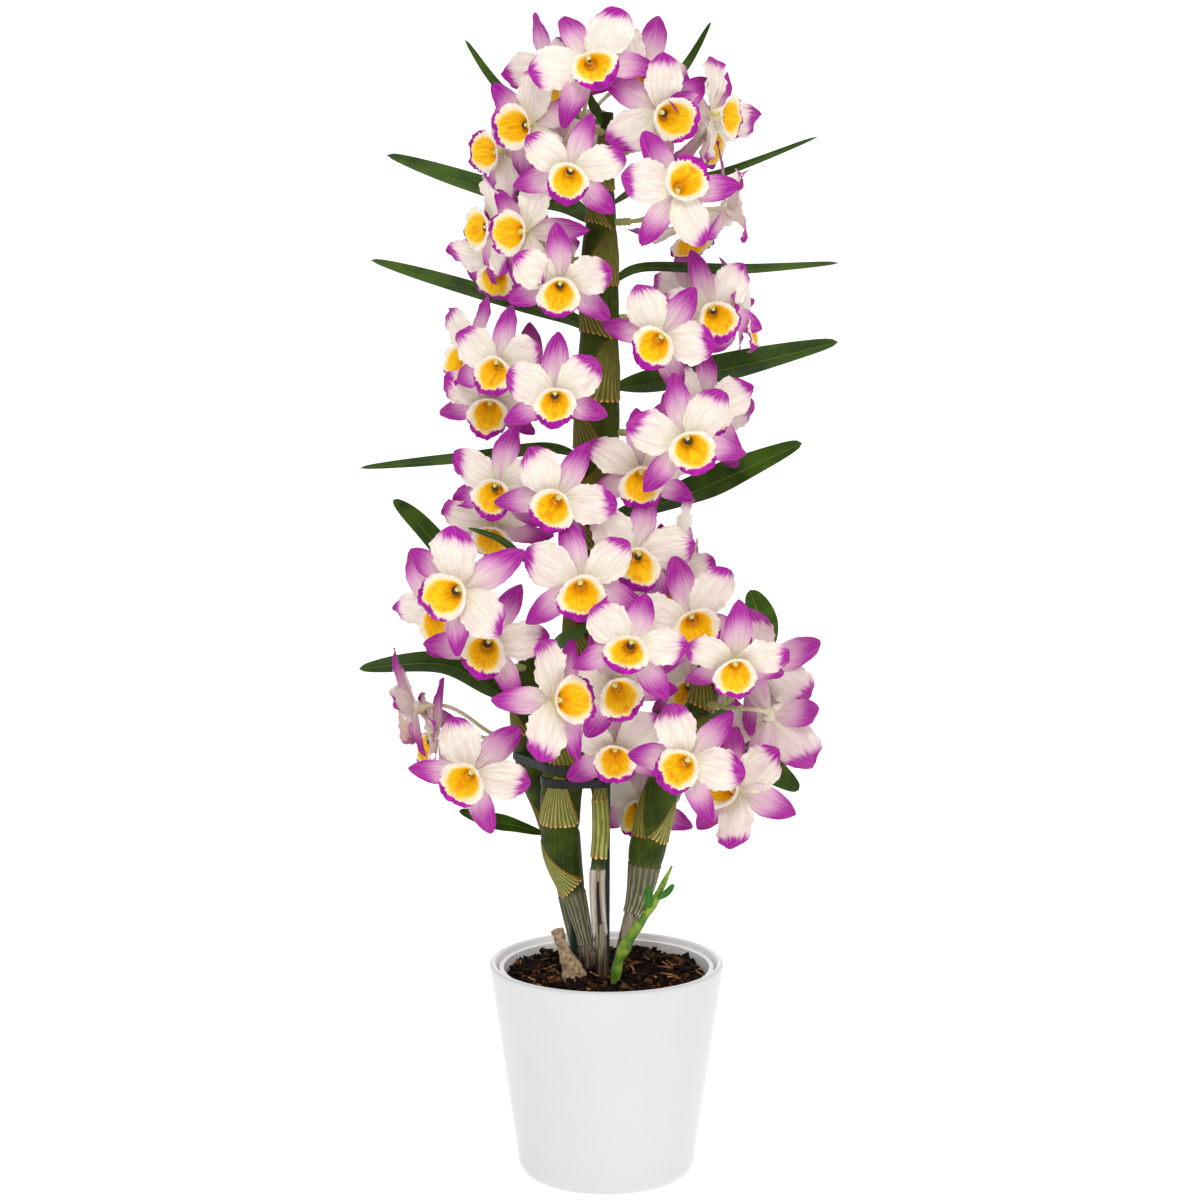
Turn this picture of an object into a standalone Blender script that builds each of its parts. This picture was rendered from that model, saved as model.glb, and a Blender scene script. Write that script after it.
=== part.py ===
"""A noble dendrobium orchid in flower, in a white glazed cachepot.

Metres, +Z up. The origin is the middle of the pot's flat underside, and the plant's best side
faces -Y. Each sub-part is one closed mesh object.

The plant is laid out from its best view. A row of the layout gives a point by where it shows
in that view, px to the right and py down in a square of 1200, and by depth, how far it lies
behind the pot's axis in millimetres (minus is nearer the viewer).
"""

import math
import random

import bmesh
import bpy
from mathutils import Vector
from mathutils.bvhtree import BVHTree

MM = 0.001
GAP = 0.3 * MM

# Driving sizes of the pot, the liner and the bark
POT_HEIGHT = 127 * MM
POT_TOP_RADIUS = 69 * MM
POT_FOOT_RADIUS = 51 * MM
POT_WALL = 4 * MM
POT_FLOOR = 6 * MM
POT_EDGE_ROUND = 8 * MM
LINER_TOP_RADIUS = 63.5 * MM
LINER_FOOT_RADIUS = 43 * MM
LINER_WALL = 1.2 * MM
LINER_BELOW_RIM = 3 * MM
LINER_LIP = 1.6 * MM
BARK_BELOW_RIM = 7.5 * MM
BARK_RELIEF = 2.6 * MM
BARK_DEPTH = 85 * MM
BARK_RINGS = 3
BARK_SIDES = 16
BARK_SEED = 7
POT_SIDES = 36
LINER_SIDES = 28

# Sizes of one bloom, in millimetres
DORSAL_LENGTH, DORSAL_WIDTH = 36.0, 18.0
LATERAL_LENGTH, LATERAL_WIDTH = 34.0, 17.0
PETAL_LENGTH, PETAL_WIDTH = 32.0, 27.0
PETAL_ANGLE = 62.0
LATERAL_ANGLE = 121.0
BLADE_THICK = 1.2
LIP_RADIUS = 14.5
LIP_SHORT_ABOVE = 0.2
LIP_REACH = 7.0
LIP_DROP = 3.0
LIP_RUFFLE = 1.2
HUB_RADIUS = 4.6
HUB_RAISE = 3.0
HUB_BACK = 4.0
LIP_SIDES = 10
THROAT_SIDES = 5
THROAT_RADIUS = 5.6
THROAT_RAISE = 1.0
THROAT_LIFT = -0.6
LIP_TILT = 2.5
LIP_FRILL = 0.5
COLUMN_TIP = (0.0, 4.0, 3.0)
TIP_CURL = 1.5
PEDICEL_RADIUS = 1.2
PEDICEL_SIDES = 3
STEM_RADIUS = 2.4
STEM_LENGTH = 8.0
STEM_TIP = 2.0
STEM_TAPER = (0.8, 1.0, 0.3)
STEM_SIDES = 4

# The best view: where the eye stands, where it looks and half its angle of view
EYE = Vector((0.0, -1.6, 0.57))
AIM = Vector((-0.0038, 0.0, 0.342))
HALF_VIEW = math.tan(math.radians(12.15))
VIEW_SQUARE = 1200
UP = Vector((0, 0, 1))

LOOK = (AIM - EYE).normalized()
VIEW_RIGHT = LOOK.cross(UP).normalized()
VIEW_UP = VIEW_RIGHT.cross(LOOK)


def seen(px, py, depth):
    """The point at this depth (mm) that the best view shows at px, py."""
    half = VIEW_SQUARE / 2
    across = (px - half) / half * HALF_VIEW
    upward = (half - py) / half * HALF_VIEW
    ray = LOOK + VIEW_RIGHT * across + VIEW_UP * upward
    return EYE + ray * ((depth * MM - EYE.y) / ray.y)


# Materials

def material(name, color, roughness, metallic=0.0):
    mat = bpy.data.materials.get(name)
    if mat is None:
        mat = bpy.data.materials.new(name)
        mat.use_nodes = True
        shader = mat.node_tree.nodes["Principled BSDF"]
        shader.inputs["Base Color"].default_value = (*color, 1.0)
        shader.inputs["Roughness"].default_value = roughness
        shader.inputs["Metallic"].default_value = metallic
    return mat


def glaze():
    return material("white_glaze", (0.86, 0.87, 0.88), 0.15)


def liner_plastic():
    return material("liner_plastic", (0.80, 0.80, 0.80), 0.45)


def bark():
    return material("bark", (0.045, 0.022, 0.012), 0.95)


def cane_skin():
    return material("cane_skin", (0.10, 0.17, 0.03), 0.5)


def dry_sheath():
    return material("dry_sheath", (0.28, 0.21, 0.14), 0.8)


def leaf_skin():
    return material("leaf_skin", (0.02, 0.08, 0.015), 0.45)


def young_green():
    return material("young_green", (0.12, 0.35, 0.03), 0.45)


def stake_plastic():
    return material("stake_plastic", (0.01, 0.05, 0.02), 0.5)


def petal():
    return material("petal", (0.85, 0.70, 0.82), 0.55)


def lip():
    return material("lip", (0.90, 0.60, 0.05), 0.55)


def pedicel():
    return material("pedicel", (0.55, 0.60, 0.30), 0.5)


BLOOM_MATERIALS = (petal, lip, pedicel)
PETAL_SLOT, LIP_SLOT, PEDICEL_SLOT = range(3)


# Mesh helpers

def mesh_object(name, verts, faces, materials, slots=None):
    """An object from points in metres, with its faces turned outwards."""
    mesh = bpy.data.meshes.new(name)
    mesh.from_pydata([tuple(v) for v in verts], [], faces)
    for mat in materials:
        mesh.materials.append(mat())
    if slots:
        for face, slot in zip(mesh.polygons, slots):
            face.material_index = slot
    shape = bmesh.new()
    shape.from_mesh(mesh)
    bmesh.ops.triangulate(shape, faces=shape.faces[:])
    bmesh.ops.recalc_face_normals(shape, faces=shape.faces[:])
    shape.to_mesh(mesh)
    shape.free()
    obj = bpy.data.objects.new(name, mesh)
    bpy.context.scene.collection.objects.link(obj)
    return obj


def smooth(obj, sharp_degrees=40):
    obj.data.shade_smooth()
    obj.data.set_sharp_from_angle(angle=math.radians(sharp_degrees))


def turned(name, profile, sides, mat):
    """A solid turned about +Z from a closed profile of (radius, height) points."""
    verts, faces, rings = [], [], []
    for radius, height in profile:
        if radius == 0:
            verts.append((0, 0, height))
            rings.append([len(verts) - 1] * sides)
            continue
        start = len(verts)
        for k in range(sides):
            a = 2 * math.pi * k / sides
            verts.append((radius * math.cos(a), radius * math.sin(a), height))
        rings.append(list(range(start, start + sides)))
    for low, high in zip(rings, rings[1:]):
        for k in range(sides):
            n = (k + 1) % sides
            corners = [low[k], low[n], high[n], high[k]]
            faces.append(list(dict.fromkeys(corners)))
    return mesh_object(name, verts, faces, [mat])


def through(knots, steps):
    """Points and values on a smooth line through knots, each a list of numbers."""
    rows = []
    ends = [knots[0]] + list(knots) + [knots[-1]]
    for k in range(len(knots) - 1):
        a, b, c, d = ends[k:k + 4]
        for step in range(steps):
            t = step / steps
            rows.append([
                0.5 * (2 * q + (r - p) * t + (2 * p - 5 * q + 4 * r - s) * t * t
                       + (3 * q - p - 3 * r + s) * t ** 3)
                for p, q, r, s in zip(a, b, c, d)
            ])
    rows.append(list(knots[-1]))
    return rows


def frames(points):
    """Side vectors along a line of points, turned as little as they can be."""
    side = None
    pairs = []
    for k, point in enumerate(points):
        ahead = points[min(k + 1, len(points) - 1)] - points[max(k - 1, 0)]
        ahead.normalize()
        if side is None:
            side = Vector((1, 0, 0))
            if abs(ahead.x) > 0.9:
                side = Vector((0, 1, 0))
        side = (side - ahead * side.dot(ahead)).normalized()
        pairs.append((side.copy(), ahead.cross(side)))
    return pairs


def tube_mesh(points, radii, sides):
    """Points and faces of a closed tube."""
    verts, faces = [], []
    for point, radius, (side, other) in zip(points, radii, frames(points)):
        for k in range(sides):
            a = 2 * math.pi * k / sides
            verts.append(point + side * (radius * math.cos(a)) + other * (radius * math.sin(a)))
    for row in range(len(points) - 1):
        for k in range(sides):
            n = (k + 1) % sides
            low = row * sides
            faces.append([low + k, low + n, low + sides + n, low + sides + k])
    faces.append(list(range(sides)))
    faces.append(list(range(len(verts) - sides, len(verts))))
    return verts, faces


def tube(name, points, radii, sides, mat):
    verts, faces = tube_mesh(points, radii, sides)
    obj = mesh_object(name, verts, faces, [mat])
    smooth(obj)
    return obj


def evaluated(obj):
    depsgraph = bpy.context.evaluated_depsgraph_get()
    return bpy.data.meshes.new_from_object(obj.evaluated_get(depsgraph))


def fused(name, parts):
    """One object joined from closed parts that cross each other."""
    first, rest = parts[0], parts[1:]
    first.name = name
    if rest:
        group = bpy.data.collections.new(name + "_parts")
        bpy.context.scene.collection.children.link(group)
        for part in rest:
            group.objects.link(part)
            bpy.context.scene.collection.objects.unlink(part)
        union = first.modifiers.new("union", "BOOLEAN")
        union.operation = "UNION"
        union.operand_type = "COLLECTION"
        union.collection = group
        union.solver = "MANIFOLD"
        joined = evaluated(first)
        first.modifiers.clear()
        first.data = joined
        for part in rest:
            bpy.data.objects.remove(part)
        bpy.data.collections.remove(group)
    first.data.name = name
    return first


# Pot, liner and bark

def arc(centre, radius, start, end, steps):
    points = []
    for k in range(steps + 1):
        a = math.radians(start + (end - start) * k / steps)
        points.append((centre[0] + radius * math.cos(a), centre[1] + radius * math.sin(a)))
    return points


def cachepot():
    """The white outer pot: flat foot, rounded bottom edge, straight taper, rounded rim."""
    taper = (POT_TOP_RADIUS - POT_FOOT_RADIUS) / POT_HEIGHT
    rim = POT_WALL / 2
    edge = arc((POT_FOOT_RADIUS - POT_EDGE_ROUND + taper * POT_EDGE_ROUND, POT_EDGE_ROUND),
               POT_EDGE_ROUND, -90, -8, 3)
    over = arc((POT_TOP_RADIUS - rim, POT_HEIGHT - rim), rim, -8, 172, 4)
    inner_foot = POT_FOOT_RADIUS + taper * POT_FLOOR - POT_WALL
    profile = [(0, 0)] + edge + over + [(inner_foot, POT_FLOOR), (0, POT_FLOOR)]
    pot = turned("cachepot", profile, POT_SIDES, glaze)
    smooth(pot)


def liner():
    """The thin inner pot that the orchid grows in, standing on the cachepot's floor."""
    top = POT_HEIGHT - LINER_BELOW_RIM
    foot = POT_FLOOR + GAP
    outer_top = LINER_TOP_RADIUS
    outline = [
        (0, foot),
        (LINER_FOOT_RADIUS, foot),
        (outer_top - LINER_LIP, top - 3 * LINER_LIP),
        (outer_top, top - 3 * LINER_LIP),
        (outer_top, top),
        (outer_top - LINER_LIP - LINER_WALL, top),
        (LINER_FOOT_RADIUS - LINER_WALL, foot + LINER_WALL),
        (0, foot + LINER_WALL),
    ]
    smooth(turned("grow_pot", outline, LINER_SIDES, liner_plastic))


def liner_inside(height):
    """The liner's inner radius at a height."""
    top = POT_HEIGHT - LINER_BELOW_RIM
    low = POT_FLOOR + GAP + LINER_WALL
    share = (height - low) / (top - low)
    narrow = LINER_FOOT_RADIUS - LINER_WALL
    return narrow + (LINER_TOP_RADIUS - LINER_LIP - LINER_WALL - narrow) * share


BARK_TOP = POT_HEIGHT - BARK_BELOW_RIM


def bark_mix(feet):
    """The bark that fills the liner: a rough top of chips, with a plain hole for each foot."""
    draw = random.Random(BARK_SEED)
    rings, sides = BARK_RINGS, BARK_SIDES
    verts = [Vector((0, 0, BARK_TOP))]
    faces = []
    for ring in range(1, rings + 1):
        radius = (liner_inside(BARK_TOP - BARK_RELIEF) - 2 * GAP) * ring / rings
        for k in range(sides):
            a = 2 * math.pi * (k + 0.5 * (ring % 2)) / sides
            lift = draw.uniform(-BARK_RELIEF, BARK_RELIEF)
            if ring == rings:
                lift = -BARK_RELIEF
            verts.append(Vector((radius * math.cos(a), radius * math.sin(a), BARK_TOP + lift)))
    low_height = BARK_TOP - BARK_DEPTH
    low_radius = liner_inside(low_height) - 2 * GAP
    outer = 1 + (rings - 1) * sides
    for k in range(sides):
        a = 2 * math.pi * (k + 0.5 * (rings % 2)) / sides
        verts.append(Vector((low_radius * math.cos(a), low_radius * math.sin(a), low_height)))
    for k in range(sides):
        n = (k + 1) % sides
        faces.append([0, 1 + k, 1 + n])
        for ring in range(rings - 1):
            low = 1 + ring * sides
            high = low + sides
            if ring % 2:
                faces.append([low + k, high + k, high + n])
                faces.append([low + k, high + n, low + n])
            else:
                faces.append([low + k, high + k, low + n])
                faces.append([low + n, high + k, high + n])
        faces.append([outer + k, outer + sides + k, outer + sides + n, outer + n])
    faces.append([outer + sides + k for k in range(sides)])
    mix = mesh_object("bark_mix", verts, faces, [bark])
    for number, (points, radii, foot_sides) in enumerate(feet):
        hole_radii = [radius + 2 * GAP for radius in radii]
        hole_verts, hole_faces = tube_mesh(points, hole_radii, foot_sides)
        cutter = mesh_object(f"foot_cutter_{number}", hole_verts, hole_faces, [bark])
        cutter.hide_render = True
        cutter.display_type = "WIRE"
        cut = mix.modifiers.new(f"hole_{number}", "BOOLEAN")
        cut.operation = "DIFFERENCE"
        cut.object = cutter
    smooth(mix, 10)


# Canes. A knot gives the cane's middle in the best view, its depth and its width in mm.

def knot(px, py, depth, width):
    return (px, py, depth, width)


CANES = {
    "main": dict(sides=12, skin=cane_skin, knots=[
        knot(px=592, py=1010, depth=4, width=8),
        knot(px=592, py=972, depth=4, width=8),
        knot(px=587, py=945, depth=5, width=8),
        knot(px=577, py=905, depth=6, width=12),
        knot(px=562, py=850, depth=6, width=22),
        knot(px=561, py=797, depth=6, width=23),
        knot(px=568, py=755, depth=6, width=25),
        knot(px=578, py=700, depth=6, width=23),
        knot(px=585, py=620, depth=5, width=24),
        knot(px=592, py=520, depth=4, width=25),
        knot(px=597, py=420, depth=3, width=25),
        knot(px=599, py=340, depth=2, width=22),
        knot(px=600, py=250, depth=1, width=20),
        knot(px=603, py=180, depth=0, width=12),
        knot(px=608, py=112, depth=0, width=6),
    ]),
    "left": dict(sides=10, skin=cane_skin, knots=[
        knot(px=582, py=1000, depth=26, width=8),
        knot(px=580, py=960, depth=26, width=8),
        knot(px=571, py=905, depth=33, width=12),
        knot(px=551, py=812, depth=41, width=18),
        knot(px=534, py=770, depth=41, width=19),
        knot(px=526, py=716, depth=39, width=18),
        knot(px=527, py=675, depth=37, width=14),
        knot(px=530, py=646, depth=36, width=8),
    ]),
    "centre": dict(sides=8, skin=cane_skin, knots=[
        knot(px=602, py=1005, depth=-6, width=7),
        knot(px=602, py=965, depth=-6, width=7),
        knot(px=597, py=886, depth=-6, width=8),
        knot(px=601, py=828, depth=-4, width=9),
        knot(px=598, py=780, depth=0, width=8),
        knot(px=597, py=752, depth=4, width=5),
    ]),
    "right": dict(sides=10, skin=cane_skin, knots=[
        knot(px=616, py=1005, depth=2, width=7),
        knot(px=618, py=966, depth=2, width=7),
        knot(px=628, py=925, depth=2, width=10),
        knot(px=639, py=890, depth=2, width=15),
        knot(px=648, py=845, depth=2, width=21),
        knot(px=663, py=785, depth=2, width=20),
        knot(px=682, py=740, depth=2, width=19),
        knot(px=702, py=702, depth=4, width=17),
        knot(px=714, py=655, depth=8, width=14),
        knot(px=716, py=626, depth=9, width=9),
    ]),
}

FOOT_ROWS = 3
STEPS_A_KNOT = 1
SEAT = 0.35 * MM
SEARCH = 40 * MM
CANE_SKINS = {}


def cane_rows(name, steps=STEPS_A_KNOT):
    rows = through(CANES[name]["knots"], steps)
    points = [seen(px, py, depth) for px, py, depth, _ in rows]
    radii = [width / 2 * MM for *_, width in rows]
    return points, radii


def canes():
    """The pseudobulbs. Each foot goes down into the bark."""
    feet = []
    for name, cane in CANES.items():
        points, radii = cane_rows(name)
        mesh = tube(f"cane_{name}", points, radii, cane["sides"], cane["skin"]).data
        corners = [vertex.co for vertex in mesh.vertices]
        CANE_SKINS[name] = BVHTree.FromPolygons(corners, [f.vertices for f in mesh.polygons])
        feet.append((points[:FOOT_ROWS], radii[:FOOT_ROWS], cane["sides"]))
    return feet


def cane_middle(name, py):
    """The middle of a cane where the best view shows it at this height."""
    rows = through(CANES[name]["knots"], 8)
    row = min(rows, key=lambda r: abs(r[1] - py))
    return seen(*row[:3])


def seat(name, py, towards):
    """A foot's place just off a cane's skin, and the way out of the skin there.

    The skin is looked for from outside, along a level line from the search distance.
    """
    middle = cane_middle(name, py)
    away = towards - middle
    away.z = 0
    away.normalize()
    spot, outward, _, _ = CANE_SKINS[name].ray_cast(middle + away * SEARCH, -away)
    return spot + outward * SEAT, outward


# Stump, new shoot and stakes

LEAF_THICK = 1.4 * MM
STUMP = [
    knot(px=577, py=1000, depth=-10, width=12),
    knot(px=575, py=982, depth=-10, width=15),
    knot(px=570, py=963, depth=-10, width=11),
    knot(px=562, py=946, depth=-10, width=6),
    knot(px=557, py=930, depth=-10, width=8),
]
SHOOT_DEPTH = -24
SHOOT = [
    knot(px=614, py=1000, depth=SHOOT_DEPTH, width=5),
    knot(px=617, py=968, depth=SHOOT_DEPTH, width=6),
    knot(px=626, py=945, depth=SHOOT_DEPTH, width=7),
    knot(px=641, py=922, depth=SHOOT_DEPTH, width=5),
    knot(px=655, py=900, depth=SHOOT_DEPTH, width=5),
    knot(px=672, py=866, depth=SHOOT_DEPTH, width=1.2),
]
SHOOT_LEAF_FORWARD = 3
SHOOT_LEAF_BOW = Vector((1, -2, 0)) * MM
SHOOT_LEAVES = [
    dict(base=(646, 914), tip=(648, 884), width=5),
    dict(base=(655, 900), tip=(674, 884), width=4),
]
STAKES = {
    "stake_left": [(577, 1030, 16), (566, 760, 24)],
    "stake_middle": [(606, 1030, 10), (607, 768, 13)],
}
STAKE_RADIUS = 2.0 * MM
STAKE_SIDES = 8
STAKE_SUNK = 0.36


def knot_tube(rows, sides):
    points = [seen(px, py, depth) for px, py, depth, _ in rows]
    radii = [width / 2 * MM for *_, width in rows]
    return points, radii, sides


def stump():
    """The cut stub of an old cane."""
    points, radii, sides = knot_tube(STUMP, 8)
    tube("old_stump", points, radii, sides, dry_sheath)
    return points[:FOOT_ROWS], radii[:FOOT_ROWS], sides


def new_shoot():
    """The young growth: a bent stem with small leaves, fused."""
    points, radii, sides = knot_tube(SHOOT, 6)
    parts = [tube("shoot_stem", points, radii, sides, young_green)]
    for row in SHOOT_LEAVES:
        spine = [seen(*row["base"], SHOOT_DEPTH),
                 seen(*row["tip"], SHOOT_DEPTH - SHOOT_LEAF_FORWARD)]
        spine.insert(1, (spine[0] + spine[1]) / 2 + SHOOT_LEAF_BOW)
        verts, faces = blade_mesh(spine, spine[2] - spine[0], Vector((0, -1, 0)),
                                  [0.5, 1.0, 0.0], row["width"] * MM, LEAF_THICK)
        parts.append(mesh_object("shoot_leaf", verts, faces, [young_green]))
    fused("new_shoot", parts)
    return points[:FOOT_ROWS], radii[:FOOT_ROWS], sides


def stakes():
    feet = []
    for name, ends in STAKES.items():
        foot, head = [seen(*end) for end in ends]
        points = [foot, foot.lerp(head, STAKE_SUNK), head]
        radii = [STAKE_RADIUS] * 3
        tube(name, points, radii, STAKE_SIDES, stake_plastic)
        feet.append((points[:2], radii[:2], STAKE_SIDES))
    return feet


# Ties. Each is a flat band round the canes and the stake that it holds together.

TIE_HEIGHT = 5 * MM
TIE_THICK = 0.9 * MM
TIE_CLEAR = 0.7 * MM
TIE_DOTS = 12
TIES = {
    "tie_left": dict(canes=["left", "main"], stake="stake_left", px=566, py=766, depth=6),
    "tie_right": dict(canes=["main", "centre"], stake="stake_middle", px=566, py=780, depth=6),
}


def crossing(points, radii, height):
    """Where a tube crosses a height: the centre and radius there."""
    for low, high, r_low, r_high in zip(points, points[1:], radii, radii[1:]):
        if low.z <= height <= high.z:
            t = (height - low.z) / (high.z - low.z)
            return low.lerp(high, t), r_low + (r_high - r_low) * t
    return points[-1], radii[-1]


def hull(points):
    """The convex outline of flat points, counter-clockwise."""
    points = sorted(points)

    def half(row):
        line = []
        for p in row:
            while len(line) > 1:
                ax, ay = line[-1][0] - line[-2][0], line[-1][1] - line[-2][1]
                bx, by = p[0] - line[-1][0], p[1] - line[-1][1]
                if ax * by - ay * bx > 1e-12:
                    break
                line.pop()
            line.append(p)
        return line[:-1]

    return half(points) + half(points[::-1])


def tie(name, held, height):
    """A band round the held tubes, at a height."""
    circles = []
    for points, radii in held:
        centre, radius = crossing(points, radii, height)
        circles.append((centre, radius))
    outlines = []
    for extra in (TIE_CLEAR, TIE_CLEAR + TIE_THICK):
        dots = []
        for centre, radius in circles:
            for k in range(TIE_DOTS):
                a = 2 * math.pi * k / TIE_DOTS
                reach = (radius + extra) / math.cos(math.pi / TIE_DOTS)
                dots.append((centre.x + reach * math.cos(a), centre.y + reach * math.sin(a)))
        outlines.append(hull(dots))
    inner, outer = outlines
    count = len(outer)
    inner = inner[:count]
    verts, faces = [], []
    for (ix, iy), (ox, oy) in zip(inner, outer):
        for x, y, z in ((ix, iy, 0), (ox, oy, 0), (ox, oy, TIE_HEIGHT), (ix, iy, TIE_HEIGHT)):
            verts.append((x, y, height - TIE_HEIGHT / 2 + z))
    for k in range(count):
        n = (k + 1) % count
        for c in range(4):
            d = (c + 1) % 4
            faces.append([4 * k + c, 4 * n + c, 4 * n + d, 4 * k + d])
    mesh_object(name, verts, faces, [stake_plastic])


def stake_tube(name):
    foot, head = [seen(*end) for end in STAKES[name]]
    return [foot, head], [STAKE_RADIUS] * 2


def ties():
    for name, row in TIES.items():
        held = [cane_rows(cane) for cane in row["canes"]] + [stake_tube(row["stake"])]
        tie(name, held, seen(row["px"], row["py"], row["depth"]).z)


# Leaves

BLADE_CHANNEL = 0.25


def blade_turns(spine, outward, face):
    """The across and front vectors of a blade, carried from the tip to the foot without a twist."""
    turns = []
    front = face
    for k in reversed(range(len(spine) - 1)):
        ahead = (spine[k + 1] - spine[k - 1] if k else outward).normalized()
        front = (front - ahead * front.dot(ahead)).normalized()
        turns.insert(0, (ahead.cross(front), front))
    return turns


def blade_mesh(spine, outward, face, widths, width, thick):
    """A thin blade along a line: its middle is thick, its edges and tip are sharp.

    Its foot is cut square to outward, and its last point is the tip.
    """
    verts, faces = [], []
    last = len(spine) - 1
    for k, (across, front) in enumerate(blade_turns(spine, outward, face)):
        point = spine[k]
        half = width / 2 * widths[k]
        rise = front * (half * BLADE_CHANNEL) if k else Vector()
        verts += [point - across * half + rise, point + front * (thick / 2),
                  point + across * half + rise, point - front * (thick / 2)]
    verts.append(spine[last])
    tip = 4 * last
    for row in range(last - 1):
        for c in range(4):
            d = (c + 1) % 4
            low, high = 4 * row, 4 * row + 4
            if c in (0, 3):
                faces += [[low + c, high + c, low + d], [low + d, high + c, high + d]]
            else:
                faces += [[low + c, high + c, high + d], [low + c, high + d, low + d]]
    for c in range(4):
        faces.append([tip - 4 + c, tip, tip - 4 + (c + 1) % 4])
    faces.append([0, 1, 3])
    faces.append([1, 2, 3])
    return verts, faces


LEAF_FACE = Vector((0, -0.75, 0.66))
LEAF_STEPS = 2

# A leaf's outline: where its foot and tip lie on the curve, how far the broad middle leans to
# the tip, how full it is, and its least width
LEAF_FOOT_SHARE = 0.06
LEAF_SPAN = 0.92
LEAF_LEAN = 1.15
LEAF_FULLNESS = 0.7
LEAF_NARROWEST = 0.3


def leaf(cane, node, via, tip, width):
    """A leaf from the height node of a cane, past the via points to its tip. Width in mm."""
    return dict(cane=cane, node=node, via=via, tip=tip, width=width)


LEAVES = {
    "leaf_01": leaf("main", node=128, via=[(565, 112, 26), (507, 95, 42)],
                    tip=(465, 40, 38), width=7),
    "leaf_02": leaf("main", node=124, via=[(655, 98, 36), (686, 66, 42)],
                    tip=(711, 22, 36), width=6),
    "leaf_03": leaf("main", node=226, via=[(560, 204, 30), (490, 190, 44)],
                    tip=(387, 155, 36), width=17),
    "leaf_04": leaf("main", node=203, via=[(650, 184, 32), (715, 176, 40)],
                    tip=(817, 137, 32), width=7),
    "leaf_05": leaf("main", node=334, via=[(560, 316, 24), (470, 290, 50)],
                    tip=(371, 260, 43), width=13),
    "leaf_06": leaf("main", node=288, via=[(645, 268, 24), (740, 270, 34)],
                    tip=(838, 263, 28), width=8),
    "leaf_07": leaf("main", node=393, via=[(660, 382, 22), (740, 366, 45)],
                    tip=(838, 342, 36), width=21),
    "leaf_08": leaf("main", node=462, via=[(545, 449, 20), (470, 458, 30)],
                    tip=(360, 468, 24), width=9),
    "leaf_09": leaf("main", node=520, via=[(680, 497, 38), (735, 474, 40)],
                    tip=(802, 443, 32), width=21),
    "leaf_10": leaf("left", node=655, via=[(470, 585, 42), (424, 530, 36)],
                    tip=(393, 500, 30), width=15),
    "leaf_11": leaf("main", node=590, via=[(529, 562, -36), (500, 540, -38)],
                    tip=(468, 528, -38), width=5),
    "leaf_12": leaf("left", node=702, via=[(490, 688, 38), (440, 664, 32)],
                    tip=(359, 669, 24), width=17),
    "leaf_13": leaf("left", node=832, via=[(510, 825, 34), (486, 820, 28)],
                    tip=(459, 811, 22), width=11),
    "leaf_14": leaf("right", node=690, via=[(744, 660, 26), (760, 626, 30)],
                    tip=(750, 590, 28), width=23),
    "leaf_15": leaf("right", node=712, via=[(736, 736, 22), (764, 766, 20)],
                    tip=(799, 790, 16), width=21),
    "leaf_16": leaf("centre", node=764, via=[(620, 745, 33), (648, 724, 38)],
                    tip=(674, 711, 36), width=12),
    "leaf_17": leaf("main", node=122, via=[(597, 112, -5), (592, 104, -8)],
                    tip=(588, 92, -10), width=6),
    "leaf_18": leaf("left", node=680, via=[(549, 656, 6), (565, 640, -15)],
                    tip=(602, 621, -24), width=10),
}


def leaf_spine(row, steps):
    """The middle line of a leaf, and the way out of the cane at its foot."""
    passing = [seen(*point) for point in row["via"] + [row["tip"]]]
    foot, outward = seat(row["cane"], row["node"], passing[0])
    return [Vector(point) for point in through([foot] + passing, steps)], outward


def leaves():
    for name, row in LEAVES.items():
        spine, outward = leaf_spine(row, LEAF_STEPS)
        widths = [leaf_width(k / (len(spine) - 1)) for k in range(len(spine))]
        verts, faces = blade_mesh(spine, outward, LEAF_FACE, widths, row["width"] * MM,
                                  LEAF_THICK)
        obj = mesh_object(name, verts, faces, [leaf_skin])
        smooth(obj, 60)


def leaf_width(share):
    """A strap leaf's width along it: narrow foot, broad middle, long point."""
    along = LEAF_FOOT_SHARE + LEAF_SPAN * share
    return max(LEAF_NARROWEST, math.sin(math.pi * along ** LEAF_LEAN) ** LEAF_FULLNESS)


# Blooms

def hub_point(angle, radius, lift):
    """A point round a bloom's middle: the angle runs clockwise from the dorsal sepal."""
    a = math.radians(angle)
    return Vector((radius * math.sin(a), HUB_RAISE + radius * math.cos(a), lift))


SEPAL_ROWS = [(0.40, 0.95), (0.80, 0.80)]
PETAL_ROWS = [(0.34, 0.80), (0.64, 1.00), (0.88, 0.62)]
TEPALS = [
    dict(angle=0.0, length=DORSAL_LENGTH, width=DORSAL_WIDTH, rows=SEPAL_ROWS, lift=-0.08),
    dict(angle=PETAL_ANGLE, length=PETAL_LENGTH, width=PETAL_WIDTH, rows=PETAL_ROWS, lift=0.12),
    dict(angle=LATERAL_ANGLE, length=LATERAL_LENGTH, width=LATERAL_WIDTH, rows=SEPAL_ROWS,
         lift=-0.10),
    dict(angle=360 - LATERAL_ANGLE, length=LATERAL_LENGTH, width=LATERAL_WIDTH,
         rows=SEPAL_ROWS, lift=-0.10),
    dict(angle=360 - PETAL_ANGLE, length=PETAL_LENGTH, width=PETAL_WIDTH, rows=PETAL_ROWS,
         lift=0.12),
]
NOTCHES = [31.0, 92.0, 152.0, 208.0, 268.0, 329.0]
TEPAL_WAVE = 0.9


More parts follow.
